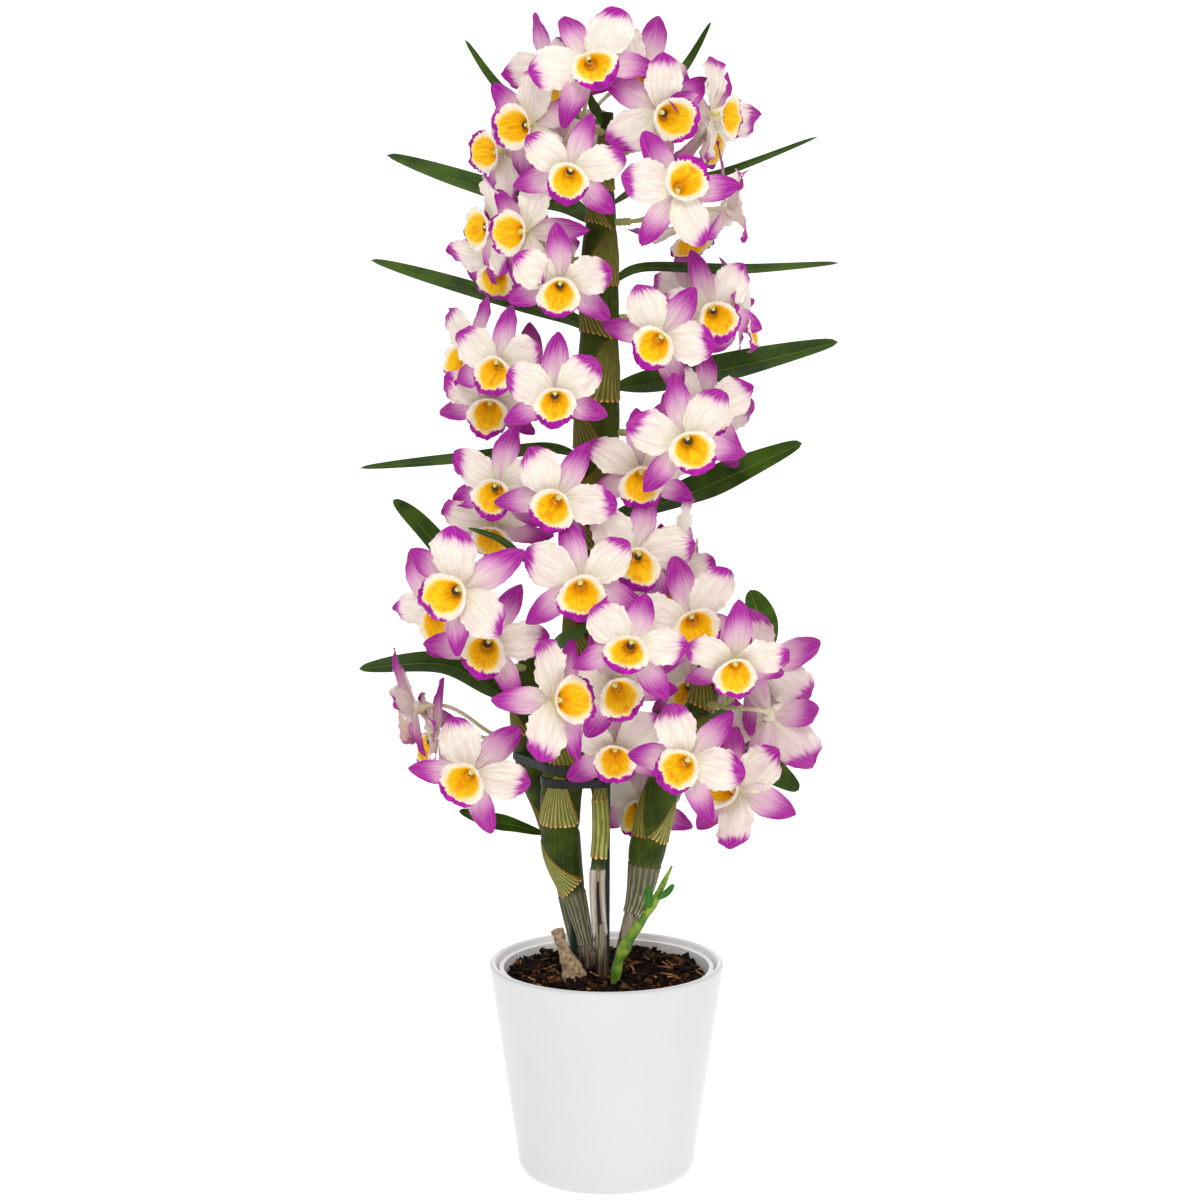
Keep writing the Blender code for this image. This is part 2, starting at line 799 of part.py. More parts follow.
def stitch(ring_a, ring_b):
    """Triangles between two rings of (angle, index), both in rising angle."""
    faces = []
    i = j = 0
    count_a, count_b = len(ring_a), len(ring_b)
    while i < count_a or j < count_b:
        next_a = ring_a[(i + 1) % count_a][0] + 360 * ((i + 1) // count_a)
        next_b = ring_b[(j + 1) % count_b][0] + 360 * ((j + 1) // count_b)
        here_a = ring_a[i % count_a][1]
        here_b = ring_b[j % count_b][1]
        if j >= count_b or (i < count_a and next_a <= next_b):
            faces.append([here_a, ring_a[(i + 1) % count_a][1], here_b])
            i += 1
        else:
            faces.append([here_a, ring_b[(j + 1) % count_b][1], here_b])
            j += 1
    return faces


def bloom_mesh(neck_points, neck_radius):
    """One bloom as a single closed skin, in millimetres in its own frame.

    The origin is the throat, +Z is where the bloom faces and +Y points to the dorsal sepal.
    neck_points are the middle points of the pedicel, from just behind the bloom to its foot,
    and neck_radius is its radius.
    """
    verts, faces, slots = [], [], []

    def add(point):
        verts.append(Vector(point))
        return len(verts) - 1

    def skin(new_faces, slot):
        faces.extend(new_faces)
        slots.extend([slot] * len(new_faces))

    notch = [add(hub_point(a, HUB_RADIUS, -HUB_BACK)) for a in NOTCHES]
    floor_mid = add(hub_point(180, HUB_RADIUS, -HUB_BACK))
    front_ring = [(a, v) for a, v in zip(NOTCHES, notch)] + [(180.0, floor_mid)]
    back_ring = list(front_ring)
    for number, part in enumerate(TEPALS):
        left, right = notch[number - 1], notch[number]
        if number > 2:
            left, right = notch[number], notch[number + 1 if number < 5 else 0]
        angle, length = part["angle"], part["length"]
        a = math.radians(angle)
        outward = Vector((math.sin(a), math.cos(a), 0))
        across = Vector((math.cos(a), -math.sin(a), 0))
        top = add(hub_point(angle, HUB_RADIUS, -HUB_BACK + BLADE_THICK / 2))
        under = add(hub_point(angle, HUB_RADIUS, -HUB_BACK - BLADE_THICK / 2))
        front_ring.append((angle, top))
        back_ring.append((angle, under))
        row = [left, top, right, under]
        hub = hub_point(angle, HUB_RADIUS, -HUB_BACK)
        for order, (share, wide) in enumerate(part["rows"]):
            reach = length * share
            lift = part["lift"] * reach
            middle = hub + outward * reach + Vector((0, 0, lift))
            half = across * (part["width"] / 2 * wide)
            wave = Vector((0, 0, TEPAL_WAVE * (-1) ** order))
            thick = Vector((0, 0, BLADE_THICK / 2))
            new_row = [add(middle - half + wave), add(middle + thick), add(middle + half - wave),
                       add(middle - thick)]
            skin(strip(row, new_row), PETAL_SLOT)
            row = new_row
        tip = add(hub + outward * length + Vector((0, 0, part["lift"] * length - TIP_CURL)))
        skin([[row[c], tip, row[(c + 1) % 4]] for c in range(4)], PETAL_SLOT)

    rim = []
    for k in range(LIP_SIDES):
        angle = 360.0 * k / LIP_SIDES
        a = math.radians(angle)
        ruffle = LIP_RUFFLE * (-1) ** k
        reach = LIP_RADIUS * (1 - LIP_SHORT_ABOVE * max(0.0, math.cos(a)))
        reach += LIP_FRILL * ruffle
        rim.append((angle, add((reach * math.sin(a), reach * math.cos(a) - LIP_DROP,
                                LIP_REACH + ruffle - LIP_TILT * math.cos(a)))))
    throat = []
    for k in range(THROAT_SIDES):
        angle = 360.0 * k / THROAT_SIDES
        a = math.radians(angle)
        throat.append((angle, add((THROAT_RADIUS * math.sin(a),
                                   THROAT_RADIUS * math.cos(a) + THROAT_RAISE, THROAT_LIFT))))
    column = add(COLUMN_TIP)
    skin(stitch(sorted(front_ring), rim), LIP_SLOT)
    skin(stitch(rim, throat), LIP_SLOT)
    for k in range(THROAT_SIDES):
        skin([[throat[k][1], throat[(k + 1) % THROAT_SIDES][1], column]], LIP_SLOT)

    neck = []
    for point, (side, other) in zip(neck_points, frames(neck_points)):
        ring = []
        for k in range(PEDICEL_SIDES):
            a = 2 * math.pi * k / PEDICEL_SIDES
            spoke = side * math.sin(a) - other * math.cos(a)
            ring.append((math.degrees(a), add(point + spoke * neck_radius)))
        neck.append(ring)
    skin(stitch(sorted(back_ring), neck[0]), PETAL_SLOT)
    for low, high in zip(neck, neck[1:]):
        skin(stitch(low, high), PEDICEL_SLOT)
    skin([[v for _, v in neck[-1]]], PEDICEL_SLOT)
    return verts, faces, slots


def strip(low, high):
    """Faces between two rows of a blade, split alike in front and behind."""
    return [
        [low[0], high[0], low[1]], [low[1], high[0], high[1]],
        [low[1], high[1], high[2]], [low[1], high[2], low[2]],
        [low[2], high[2], low[3]], [low[3], high[2], high[3]],
        [low[3], high[3], high[0]], [low[3], high[0], low[0]],
    ]


def bloom_axes(position, yaw, pitch, roll):
    """The bloom's right, dorsal and facing vectors.

    Yaw turns it to the viewer's right, pitch up and roll clockwise, from facing the eye.
    """
    to_eye = (EYE - position).normalized()
    right = UP.cross(to_eye).normalized()
    above = to_eye.cross(right)
    yaw, pitch, roll = math.radians(yaw), math.radians(pitch), math.radians(roll)
    level = to_eye * math.cos(yaw) + right * math.sin(yaw)
    facing = level * math.cos(pitch) + above * math.sin(pitch)
    dorsal = (above * math.cos(pitch) - level * math.sin(pitch)).normalized()
    side = dorsal.cross(facing)
    turned_dorsal = dorsal * math.cos(roll) + side * math.sin(roll)
    return turned_dorsal.cross(facing), turned_dorsal, facing


def bezier(a, b, c, d, steps):
    points = []
    for k in range(steps + 1):
        t = k / steps
        s = 1 - t
        points.append(a * s ** 3 + b * (3 * s * s * t) + c * (3 * s * t * t) + d * t ** 3)
    return points


NECK_BACK = 9.5
NECK_RAISE = 2.0
PEDICEL_STEPS = 3
PEDICEL_PULL = 0.38


def bloom_object(row, joint, outward):
    """A bloom with its pedicel running to the joint on its spray's stem."""
    position = seen(row["px"], row["py"], row["depth"])
    unit = MM * row["size"]
    right, dorsal, facing = bloom_axes(position, row["yaw"], row["pitch"], row["roll"])

    def inside(point):
        offset = (point - position) / unit
        return Vector((offset.dot(right), offset.dot(dorsal), offset.dot(facing)))

    start = Vector((0, NECK_RAISE, -NECK_BACK))
    end = inside(joint)
    pull = (end - start).length * PEDICEL_PULL
    arrive = inside(joint + outward) - inside(joint)
    arrive.normalize()
    path = bezier(start, start - Vector((0, 0, pull)), end + arrive * pull, end, PEDICEL_STEPS)
    verts, faces, slots = bloom_mesh(path, PEDICEL_RADIUS / row["size"])
    placed = [position + (right * v.x + dorsal * v.y + facing * v.z) * unit for v in verts]
    return mesh_object("bloom", placed, faces, BLOOM_MATERIALS, slots)


def bloom(px, py, depth, yaw=0, pitch=0, roll=0, size=1.0):
    """A bloom's place, how it is turned and its size against a full one."""
    return dict(px=px, py=py, depth=depth, yaw=yaw, pitch=pitch, roll=roll, size=size)


SPRAYS = {
    "spray_01": dict(cane="main", node=130, blooms=[
        bloom(px=592, py=66, depth=-44, yaw=-5, pitch=25, roll=-28, size=0.98),
        bloom(px=553, py=82, depth=2, yaw=-40, pitch=-10, roll=-20, size=0.92),
        bloom(px=640, py=80, depth=15, yaw=20, roll=30, size=0.92),
    ]),
    "spray_02": dict(cane="main", node=165, blooms=[
        bloom(px=523, py=126, depth=-22, yaw=-30, roll=80, size=0.92),
        bloom(px=494, py=152, depth=5, yaw=-50, roll=90, size=0.88),
        bloom(px=569, py=176, depth=-57, roll=15, size=0.86),
        bloom(px=560, py=150, depth=56, yaw=165, size=0.94),
    ]),
    "spray_03": dict(cane="main", node=150, blooms=[
        bloom(px=667, py=116, depth=-30, yaw=15, roll=-62, size=0.96),
        bloom(px=720, py=116, depth=-5, yaw=70, roll=-75, size=0.92),
        bloom(px=710, py=140, depth=25, yaw=60, pitch=-30, size=0.92),
    ]),
    "spray_04": dict(cane="main", node=222, blooms=[
        bloom(px=681, py=185, depth=-55, yaw=10, roll=-145, size=0.92),
        bloom(px=733, py=212, depth=-5, yaw=90, size=0.92),
        bloom(px=690, py=235, depth=15, yaw=30, pitch=-60, roll=-20, size=0.92),
    ]),
    "spray_05": dict(cane="main", node=262, blooms=[
        bloom(px=518, py=232, depth=-35, yaw=-35, roll=85, size=0.9),
        bloom(px=486, py=228, depth=-5, yaw=-60, roll=80, size=0.88),
        bloom(px=497, py=272, depth=10, yaw=-30, pitch=-30, size=0.88),
        bloom(px=560, py=289, depth=-45, yaw=-5, pitch=-10, roll=5, size=0.86),
        bloom(px=530, py=264, depth=58, yaw=-155, size=0.94),
    ]),
    "spray_06": dict(cane="main", node=312, blooms=[
        bloom(px=657, py=342, depth=-45, roll=38, size=0.9),
        bloom(px=714, py=315, depth=-15, yaw=15, roll=-20, size=0.9),
        bloom(px=745, py=325, depth=10, yaw=80, size=0.9),
        bloom(px=694, py=310, depth=60, yaw=152, size=0.94),
    ]),
    "spray_07": dict(cane="main", node=368, blooms=[
        bloom(px=497, py=369, depth=-30, yaw=-25, roll=10, size=0.88),
        bloom(px=465, py=357, depth=8, yaw=-60, roll=20, size=0.88),
        bloom(px=490, py=408, depth=4, yaw=-10, pitch=-20, roll=10, size=0.9),
        bloom(px=555, py=400, depth=-58, size=0.86),
        bloom(px=530, py=392, depth=48, yaw=-170, size=0.94),
    ]),
    "spray_08": dict(cane="main", node=430, blooms=[
        bloom(px=689, py=445, depth=-55, yaw=10, roll=-20, size=0.96),
        bloom(px=708, py=411, depth=-15, yaw=30, pitch=10, roll=15, size=0.92),
        bloom(px=641, py=478, depth=-28, pitch=-15, size=0.92),
        bloom(px=700, py=432, depth=56, yaw=165, size=0.94),
    ]),
    "spray_09": dict(cane="main", node=482, blooms=[
        bloom(px=496, py=492, depth=-32, yaw=-25, roll=10, size=0.9),
        bloom(px=555, py=504, depth=-55, roll=30, size=0.92),
        bloom(px=493, py=532, depth=-5, yaw=-20, pitch=-40, size=0.9),
    ]),
    "spray_10": dict(cane="main", node=540, blooms=[
        bloom(px=581, py=590, depth=-70, roll=-6),
        bloom(px=636, py=561, depth=-38, yaw=20, roll=10, size=0.98),
    ]),
    "spray_11": dict(cane="left", node=668, blooms=[
        bloom(px=486, py=648, depth=-58, roll=22, size=0.96),
        bloom(px=453, py=593, depth=-86, yaw=-20, roll=62),
        bloom(px=437, py=618, depth=-30, yaw=-40, pitch=-20, roll=-30, size=0.96),
    ]),
    "spray_12": dict(cane="left", node=730, blooms=[
        bloom(px=412, py=714, depth=-14, yaw=-115, pitch=-15, roll=20, size=0.96),
        bloom(px=432, py=744, depth=-22, yaw=-75, pitch=-10, roll=20, size=0.94),
        bloom(px=467, py=778, depth=-60, yaw=-5, roll=38, size=0.94),
    ]),
    "spray_13": dict(cane="main", node=680, blooms=[
        bloom(px=629, py=650, depth=-94, pitch=15, roll=20, size=0.9),
        bloom(px=563, py=700, depth=-78, yaw=35, roll=-90),
        bloom(px=618, py=691, depth=-55, pitch=-10, roll=-27, size=0.94),
    ]),
    "spray_14": dict(cane="right", node=636, blooms=[
        bloom(px=667, py=592, depth=-2, pitch=-20, size=0.92),
        bloom(px=690, py=555, depth=18, yaw=80, roll=50, size=0.92),
    ]),
    "spray_15": dict(cane="right", node=700, blooms=[
        bloom(px=735, py=668, depth=-62, yaw=5, pitch=-30, size=0.9),
        bloom(px=760, py=671, depth=-14, yaw=160, roll=-60),
        bloom(px=776, py=712, depth=-30, yaw=150, pitch=-10, roll=159),
        bloom(px=694, py=624, depth=-50, yaw=5, pitch=5, roll=-20, size=0.98),
    ]),
    "spray_16": dict(cane="right", node=750, blooms=[
        bloom(px=683, py=765, depth=-75, yaw=-5, roll=45, size=0.94),
        bloom(px=615, py=755, depth=-30, pitch=-15, size=0.88),
        bloom(px=729, py=788, depth=-48, yaw=-30, roll=110, size=0.98),
    ]),
    "spray_17": dict(cane="right", node=745, blooms=[
        bloom(px=640, py=809, depth=27, yaw=-10, pitch=-20, size=0.9),
        bloom(px=690, py=690, depth=36, yaw=-20, pitch=-10, size=0.9),
    ]),
    "spray_18": dict(cane="main", node=590, blooms=[
        bloom(px=612, py=575, depth=52, yaw=180, size=0.94),
    ]),
}


def spray(name, row):
    """A short stem from the cane with its blooms, fused."""
    places = [seen(item["px"], item["py"], item["depth"]) for item in row["blooms"]]
    root, outward = seat(row["cane"], row["node"], sum(places, Vector()) / len(places))
    joint = root + outward * (STEM_LENGTH * MM)
    points = [root, joint, joint + outward * (STEM_TIP * MM)]
    radii = [STEM_RADIUS * MM * scale for scale in STEM_TAPER]
    verts, faces = tube_mesh(points, radii, STEM_SIDES)
    stem = mesh_object(name, verts, faces, BLOOM_MATERIALS, [PEDICEL_SLOT] * len(faces))
    parts = [stem] + [bloom_object(item, joint, outward) for item in row["blooms"]]
    fused(name, parts)


def sprays():
    for name, row in SPRAYS.items():
        spray(name, row)


def build():
    for obj in list(bpy.data.objects):
        bpy.data.objects.remove(obj)
    cachepot()
    liner()
    feet = canes()
    feet.append(stump())
    feet.append(new_shoot())
    feet += stakes()
    bark_mix(feet)
    ties()
    leaves()
    sprays()


build()
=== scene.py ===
"""The looks of a potted noble dendrobium in flower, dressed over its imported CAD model.

The plant is laid out from its best view, as the CAD source is. A place gives a point by where
it shows in that view, px to the right and py down in a square of 1200, and by depth, how far it
lies behind the pot's axis in millimetres (minus is nearer the viewer).
"""

import math
import random

import bmesh
import bpy
import numpy as np
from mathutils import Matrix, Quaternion, Vector, noise
from mathutils.bvhtree import BVHTree


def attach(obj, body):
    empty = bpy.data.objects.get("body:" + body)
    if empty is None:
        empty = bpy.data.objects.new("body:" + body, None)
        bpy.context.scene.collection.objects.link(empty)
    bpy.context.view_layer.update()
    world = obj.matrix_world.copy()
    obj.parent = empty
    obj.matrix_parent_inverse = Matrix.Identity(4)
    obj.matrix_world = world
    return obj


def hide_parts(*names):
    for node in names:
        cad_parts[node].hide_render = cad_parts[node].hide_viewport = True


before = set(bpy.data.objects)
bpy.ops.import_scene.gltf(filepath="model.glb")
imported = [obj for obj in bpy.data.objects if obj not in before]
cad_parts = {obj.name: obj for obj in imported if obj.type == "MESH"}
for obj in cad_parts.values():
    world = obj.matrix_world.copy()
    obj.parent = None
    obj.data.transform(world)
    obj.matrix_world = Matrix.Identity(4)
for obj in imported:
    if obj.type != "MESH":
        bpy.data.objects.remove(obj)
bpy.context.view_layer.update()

MM = 0.001
UP = Vector((0, 0, 1))

# The best view: where the eye stands, where it looks and half its angle of view
EYE = Vector((0.0, -1.6, 0.57))
AIM = Vector((-0.0038, 0.0, 0.342))
HALF_ANGLE = math.radians(12.15)
VIEW_SQUARE = 1200
SENSOR = 36.0
LIT_POINT = (0, 0, 0.4)

LOOK = (AIM - EYE).normalized()
VIEW_RIGHT = LOOK.cross(UP).normalized()
VIEW_UP = VIEW_RIGHT.cross(LOOK)


def seen(px, py, depth):
    """The point at this depth (mm) that the best view shows at px, py."""
    half = VIEW_SQUARE / 2
    across = (px - half) / half * math.tan(HALF_ANGLE)
    upward = (half - py) / half * math.tan(HALF_ANGLE)
    ray = LOOK + VIEW_RIGHT * across + VIEW_UP * upward
    return EYE + ray * ((depth * MM - EYE.y) / ray.y)


# Sizes of the pot, the liner and the bark, in millimetres
POT_HEIGHT = 127.0
POT_TOP_RADIUS, POT_FOOT_RADIUS = 69.0, 51.0
POT_WALL, POT_FLOOR, POT_EDGE_ROUND = 4.0, 6.0, 8.0
LINER_TOP_RADIUS, LINER_FOOT_RADIUS = 63.5, 43.0
LINER_WALL, LINER_BELOW_RIM, LINER_LIP = 1.2, 3.0, 1.6
BARK_BELOW_RIM, BARK_RELIEF = 7.5, 2.6
TURNED_SIDES = 128

# Sizes of one bloom, in millimetres
HUB_RADIUS, HUB_RAISE, HUB_BACK = 4.6, 3.0, 4.0
LIP_RADIUS, LIP_REACH, LIP_DROP, LIP_TILT = 14.5, 7.0, 3.0, 2.5
LIP_SHORT_ABOVE = 0.2
NECK_BACK, NECK_RAISE = 9.5, 2.0
PEDICEL_RADIUS, PEDICEL_PULL = 1.2, 0.38
STEM_RADIUS, STEM_LENGTH = 2.4, 8.0
BLADE_THICK = 0.7


# Materials. Each is a small node tree on a Principled shader. The pieces carry a mark at each
# point: how far along its part, where across it, and a number of its own.

def shown(red, green, blue):
    """A colour given as a screen shows it, 0 to 255, turned to the linear values of a shader."""
    def linear(value):
        value /= 255
        return value / 12.92 if value <= 0.04045 else ((value + 0.055) / 1.055) ** 2.4
    return (linear(red), linear(green), linear(blue), 1.0)


class Value:
    """What a node gives, to be reckoned with like a number."""

    def __init__(self, paint, socket):
        self.paint, self.socket = paint, socket

    def math(self, operation, other=0.0):
        return self.paint.add("Math", {0: self, 1: other}, operation=operation)

    def __add__(self, other):
        return self.math("ADD", other)

    def __sub__(self, other):
        return self.math("SUBTRACT", other)

    def __mul__(self, other):
        return self.math("MULTIPLY", other)

    def rise(self, low, high):
        """0 below low, 1 above high and smooth between."""
        ends = {0: self, 1: low, 2: high}
        return self.paint.add("MapRange", ends, interpolation_type="SMOOTHSTEP")


class Paint:
    """A material in the making: its methods add nodes and give their values."""

    def __init__(self, name, roughness, **values):
        self.material = bpy.data.materials.new(name)
        self.material.use_nodes = True
        self.tree = self.material.node_tree
        self.shader = self.tree.nodes["Principled BSDF"]
        self.shader.inputs["Roughness"].default_value = roughness
        for socket, value in values.items():
            self.shader.inputs[socket.replace("_", " ")].default_value = value

    def fill(self, node, inputs):
        """Sets the inputs of a node, each to a plain value or linked to another node."""
        for key, value in inputs.items():
            if isinstance(value, Value):
                self.tree.links.new(value.socket, node.inputs[key])
            else:
                node.inputs[key].default_value = value

    def add(self, kind, inputs, output=0, **settings):
        node = self.tree.nodes.new("ShaderNode" + kind)
        for key, value in settings.items():
            setattr(node, key, value)
        self.fill(node, inputs)
        return Value(self, node.outputs[output])

    def mark(self):
        """The three numbers of the mark that the piece carries."""
        mark = self.add("Attribute", {}, "Vector", attribute_name="mark")
        split = self.add("SeparateXYZ", {0: mark}).socket.node
        return [Value(self, output) for output in split.outputs]

    def noise(self, values, scale, detail):
        """Noise over three values."""
        place = self.add("CombineXYZ", dict(enumerate(values)))
        return self.add("TexNoise", {"Vector": place, "Scale": scale, "Detail": detail})

    def grain(self, scale, detail, stretch=None):
        """Noise over the piece's own place, which stretch multiplies."""
        place = self.add("TexCoord", {}, "Object")
        if stretch:
            place = self.add("VectorMath", {0: place, 1: stretch}, operation="MULTIPLY")
        return self.add("TexNoise", {"Vector": place, "Scale": scale, "Detail": detail})

    def mix(self, share, a, b):
        """From a to b by a share. Each is a value, or a colour as a screen shows it."""
        a, b = [shown(*end) if isinstance(end, tuple) else end for end in (a, b)]
        return self.add("Mix", {0: share, 6: a, 7: b}, 2, data_type="RGBA")

    def done(self, color, rough, bump):
        """The material. rough is a value and its range, bump a height, strength and distance."""
        self.fill(self.shader, {
            "Base Color": color,
            "Roughness": self.add("MapRange", dict(zip((0, 3, 4), rough))),
            "Normal": self.add("Bump", dict(zip(("Height", "Strength", "Distance"), bump))),
        })
        return self.material


def tepal_paint(name, foot, base, middle, purple, flush, tip, ragged, rim, lop, blush):
    """A sepal or petal: pale at its foot, veined, purple towards its tip, with beige painted shade
    in its folds, duller behind.

    flush and tip give where along it the middle colour and the purple begin and are full,
    ragged how far streaks shift them, rim how far its edges do and lop how far one side does.
    blush is how much of the middle colour clouds and veins carry into the pale part.
    """
    paint = Paint(name, 0.6, Specular_IOR_Level=0.25)
    along, across, own = paint.mark()
    behind = own.rise(0.99, 1.01)
    own = own.math("FRACT")
    number = own * 40.0
    streak = paint.noise((along * 2.0, across * 5.0, number), 1.6, 4.0)
    vein = paint.noise((along * 1.2, across * 15.0, number), 1.5, 2.0)
    cloud = paint.noise((along, across, number), 2.4, 2.0)
    fold_and_shade = paint.noise((along * 1.6, across * 4.0, number), 1.7, 3.0)
    edge = across.math("ABSOLUTE").math("POWER", 2.5)
    swing = (own * 44.0).math("SINE") * lop
    reach = along + (streak - 0.5) * ragged + edge * rim + own * 0.10 + swing * across
    lines = vein.rise(0.42, 0.66)
    pale = paint.mix(along.rise(0.05, 0.40), foot, base)
    shade = paint.mix(cloud.rise(0.35, 0.75) * blush, pale, middle)
    shade = paint.mix(lines * (0.2 * blush), shade, (176, 96, 160))
    flushed = paint.mix(reach.rise(*flush), shade, middle)
    deep = paint.mix(lines * 0.35, purple, (132, 2, 126))
    front = paint.mix(reach.rise(*tip), flushed, deep)
    # Painted shade: a warm beige where the fold noise is low, the same noise that bumps the folds
    front = paint.mix(fold_and_shade.rise(0.58, 0.36) * 0.20, front, (186, 146, 118))
    shade = paint.mix(behind * 0.18, front, (160, 80, 140))
    return paint.done(shade, (vein, 0.45, 0.7), (vein + fold_and_shade, 0.6, 0.0006))


def lip_paint():
    """The lip: a ragged golden fan from its throat, deeper orange in the throat with painted shade
    under the column, cream round it, a purple crescent below.
    """
    paint = Paint("lip", 0.6, Specular_IOR_Level=0.22)
    along, across, own = paint.mark()
    behind = own.rise(0.99, 1.01)
    own = own.math("FRACT")
    ray = paint.noise((along * 1.5, across * 6.0, own * 30.0), 2.4, 4.0)
    blot = paint.grain(190.0, 3.0)
    reach = along + ((ray - 0.5) * 0.30 + (blot - 0.5) * 0.34)
    upper = across * 0.10
    gold = (reach + upper).rise(0.65, 0.47)
    halo = (reach + upper).rise(0.84, 0.52)
    # Deeper orange in the throat, most towards the top: partly the lip's own deeper colour, partly
    # painted shade under the column
    throat = (reach - upper).rise(0.16, 0.02)
    side = (across + 1.0) * (own * -0.30 + 0.52)
    margin = (reach - side).rise(0.68, 0.76)
    cream = paint.mix(blot.rise(0.3, 0.7), (248, 240, 226), (236, 220, 204))
    white = paint.mix(halo * 0.75, cream, (254, 226, 104))
    yellow = paint.mix(ray.rise(0.40, 0.66), (255, 204, 0), (240, 158, 0))
    deep = paint.mix(throat * 0.6, paint.mix(gold, white, yellow), (206, 120, 0))
    purple = paint.mix(blot.rise(0.35, 0.65), (190, 8, 172), (142, 2, 134))
    front = paint.mix(margin, deep, purple)
    back = paint.mix(behind, deep, (240, 226, 214))
    back = paint.mix(margin * 0.75, back, (180, 20, 164))
    fur = paint.grain(1500.0, 2.0)
    return paint.done(paint.mix(behind, front, back), (ray, 0.5, 0.75),
                      (fur + ray, 0.35, 0.0005))


def speckled_paint(name, first, second, scale, roughness, bump=0.0003):
    """A two-coloured skin with soft speckles."""
    paint = Paint(name, roughness)
    speck = paint.grain(scale, 4.0)
    return paint.done(paint.mix(speck.rise(0.35, 0.65), first, second),
                      (speck, roughness - 0.08, roughness + 0.12), (speck, 0.3, bump))


def pedicel_paint():
    """Pale green stalk, pink towards the bloom."""
    paint = Paint("pedicel", 0.45)
    along, _, _ = paint.mark()
    speck = paint.grain(420.0, 3.0)
    reach = along + speck * 0.3
    shade = paint.mix(reach.rise(0.0, 0.5), (232, 220, 205), (205, 196, 160))
    shade = paint.mix(reach.rise(0.55, 1.1), shade, (160, 164, 92))
    return paint.done(shade, (speck, 0.38, 0.55), (speck, 0.2, 0.0003))


def leaf_paint(name, dark, light, rib):
    """A strap leaf: fine parallel veins, a pale midrib, a lighter underside."""
    paint = Paint(name, 0.4, Specular_IOR_Level=0.25)
    along, across, own = paint.mark()
    vein = paint.noise((along * 1.5, across * 26.0, own), 1.4, 2.0)
    body = paint.mix(paint.grain(60.0, 4.0).rise(0.3, 0.7), dark, light)
    body = paint.mix(vein.rise(0.4, 0.7) * 0.35, body, light)
    body = paint.mix(own.rise(0.99, 1.01) * 0.45, body, rib)
    body = paint.mix(across.math("ABSOLUTE").rise(0.09, 0.02) * 0.6, body, rib)
    return paint.done(body, (vein, 0.3, 0.52), (vein, 0.35, 0.0004))


def cane_paint():
    """A pseudobulb's skin: green, faintly striped, papery where dry and brown at its foot."""
    paint = Paint("cane_skin", 0.45, Specular_IOR_Level=0.15)
    along, _, dry = paint.mark()
    stripe = paint.grain(1.0, 3.0, (900.0, 900.0, 30.0))
    cloud = paint.grain(90.0, 4.0)
    green = paint.mix(cloud.rise(0.3, 0.7), (30, 46, 0), (58, 76, 2))
    green = paint.mix(stripe.rise(0.4, 0.75) * 0.3, green, (98, 100, 26))
    green = paint.mix(along.rise(0.07, 0.0) * 0.85, green, (52, 36, 8))
    paper = paint.mix(stripe.rise(0.35, 0.62), (78, 66, 50), (170, 158, 136))
    paper = paint.mix(cloud.rise(0.5, 0.75) * 0.6, paper, (96, 92, 58))
    foot = paint.mix(stripe.rise(0.4, 0.7), (50, 34, 24), (132, 110, 88))
    shade = paint.mix(dry.rise(0.0, 1.0), green, paper)
    shade = paint.mix(dry.rise(1.0, 2.0), shade, foot)
    return paint.done(shade, (stripe, 0.4, 0.65), (stripe, 0.5, 0.0006))


def sheath_paint(name, ground, rib, band, tip, hold=0.35):
    """A sheath round a cane: ribs that end in a fringe, and a brown-orange border.

    hold is how strong the ribs still are at its top.
    """
    paint = Paint(name, 0.6, Specular_IOR_Level=0.2)
    along, rib_number, side = paint.mark()
    fleck = paint.grain(1.0, 4.0, (700.0, 700.0, 90.0))
    ribs = ((rib_number + (fleck - 0.5) * 0.9) * (2 * math.pi)).math("COSINE")
    crest = ribs * 0.45 + fleck - paint.grain(140.0, 3.0) * 0.3
    lines = crest.rise(0.1, 0.8) * (along.rise(1.0, 0.1) * (1 - hold) + hold)
    edge = side.math("ABSOLUTE").rise(0.91, 0.97)
    low = along.rise(0.06, 0.02) * ribs.rise(0.9, -0.4)
    body = paint.mix(edge.math("MAXIMUM", low) * 0.7, paint.mix(lines, ground, rib), band)
    body = paint.mix(along.rise(0.05, 0.01) * ribs.rise(0.3, 0.9), body, tip)
    return paint.done(body, (fleck, 0.5, 0.75), (crest, 0.4, 0.0005))


def bark_paint(name, dark, light, share):
    """Rotting bark: dark and fibrous, with lighter torn faces."""
    paint = Paint(name, 0.9, Specular_IOR_Level=0.12)
    fibre = paint.grain(420.0, 6.0, (1.0, 1.0, 3.0))
    body = paint.mix(fibre.rise(0.35, 0.7), dark, light)
    body = paint.mix(paint.grain(130.0, 4.0).rise(0.35, 0.75) * share, body, dark)
    return paint.done(body, (fibre, 0.75, 0.98), (fibre, 0.9, 0.0012))


def glaze_paint():
    """White glaze: clean, softly glossy, faintly uneven, with painted light on the inside, where
    the walls lie in shade.
    """
    paint = Paint("white_glaze", 0.3, Specular_IOR_Level=0.35)
    inside, _, _ = paint.mark()
    peel = paint.grain(45.0, 2.0)
    body = paint.mix(paint.grain(14.0, 2.0).rise(0.3, 0.7), (214, 214, 215), (217, 217, 217))
    # Painted light: the inside is made whiter to lift the shade on the pot's inner walls
    body = paint.mix(inside.rise(0.2, 0.8), body, (250, 250, 250))
    return paint.done(body, (peel, 0.26, 0.34), (peel, 0.02, 0.0004))


def plastic_paint(name, first, second, roughness, scratch):
    """Moulded plastic with faint scuffs."""
    paint = Paint(name, roughness)
    scuff = paint.grain(260.0, 5.0, (1.0, 1.0, 6.0))
    return paint.done(paint.mix(scuff.rise(0.45, 0.8), first, second),
                      (scuff, roughness - 0.1, roughness + 0.2), (scuff, scratch, 0.0003))


# Meshes

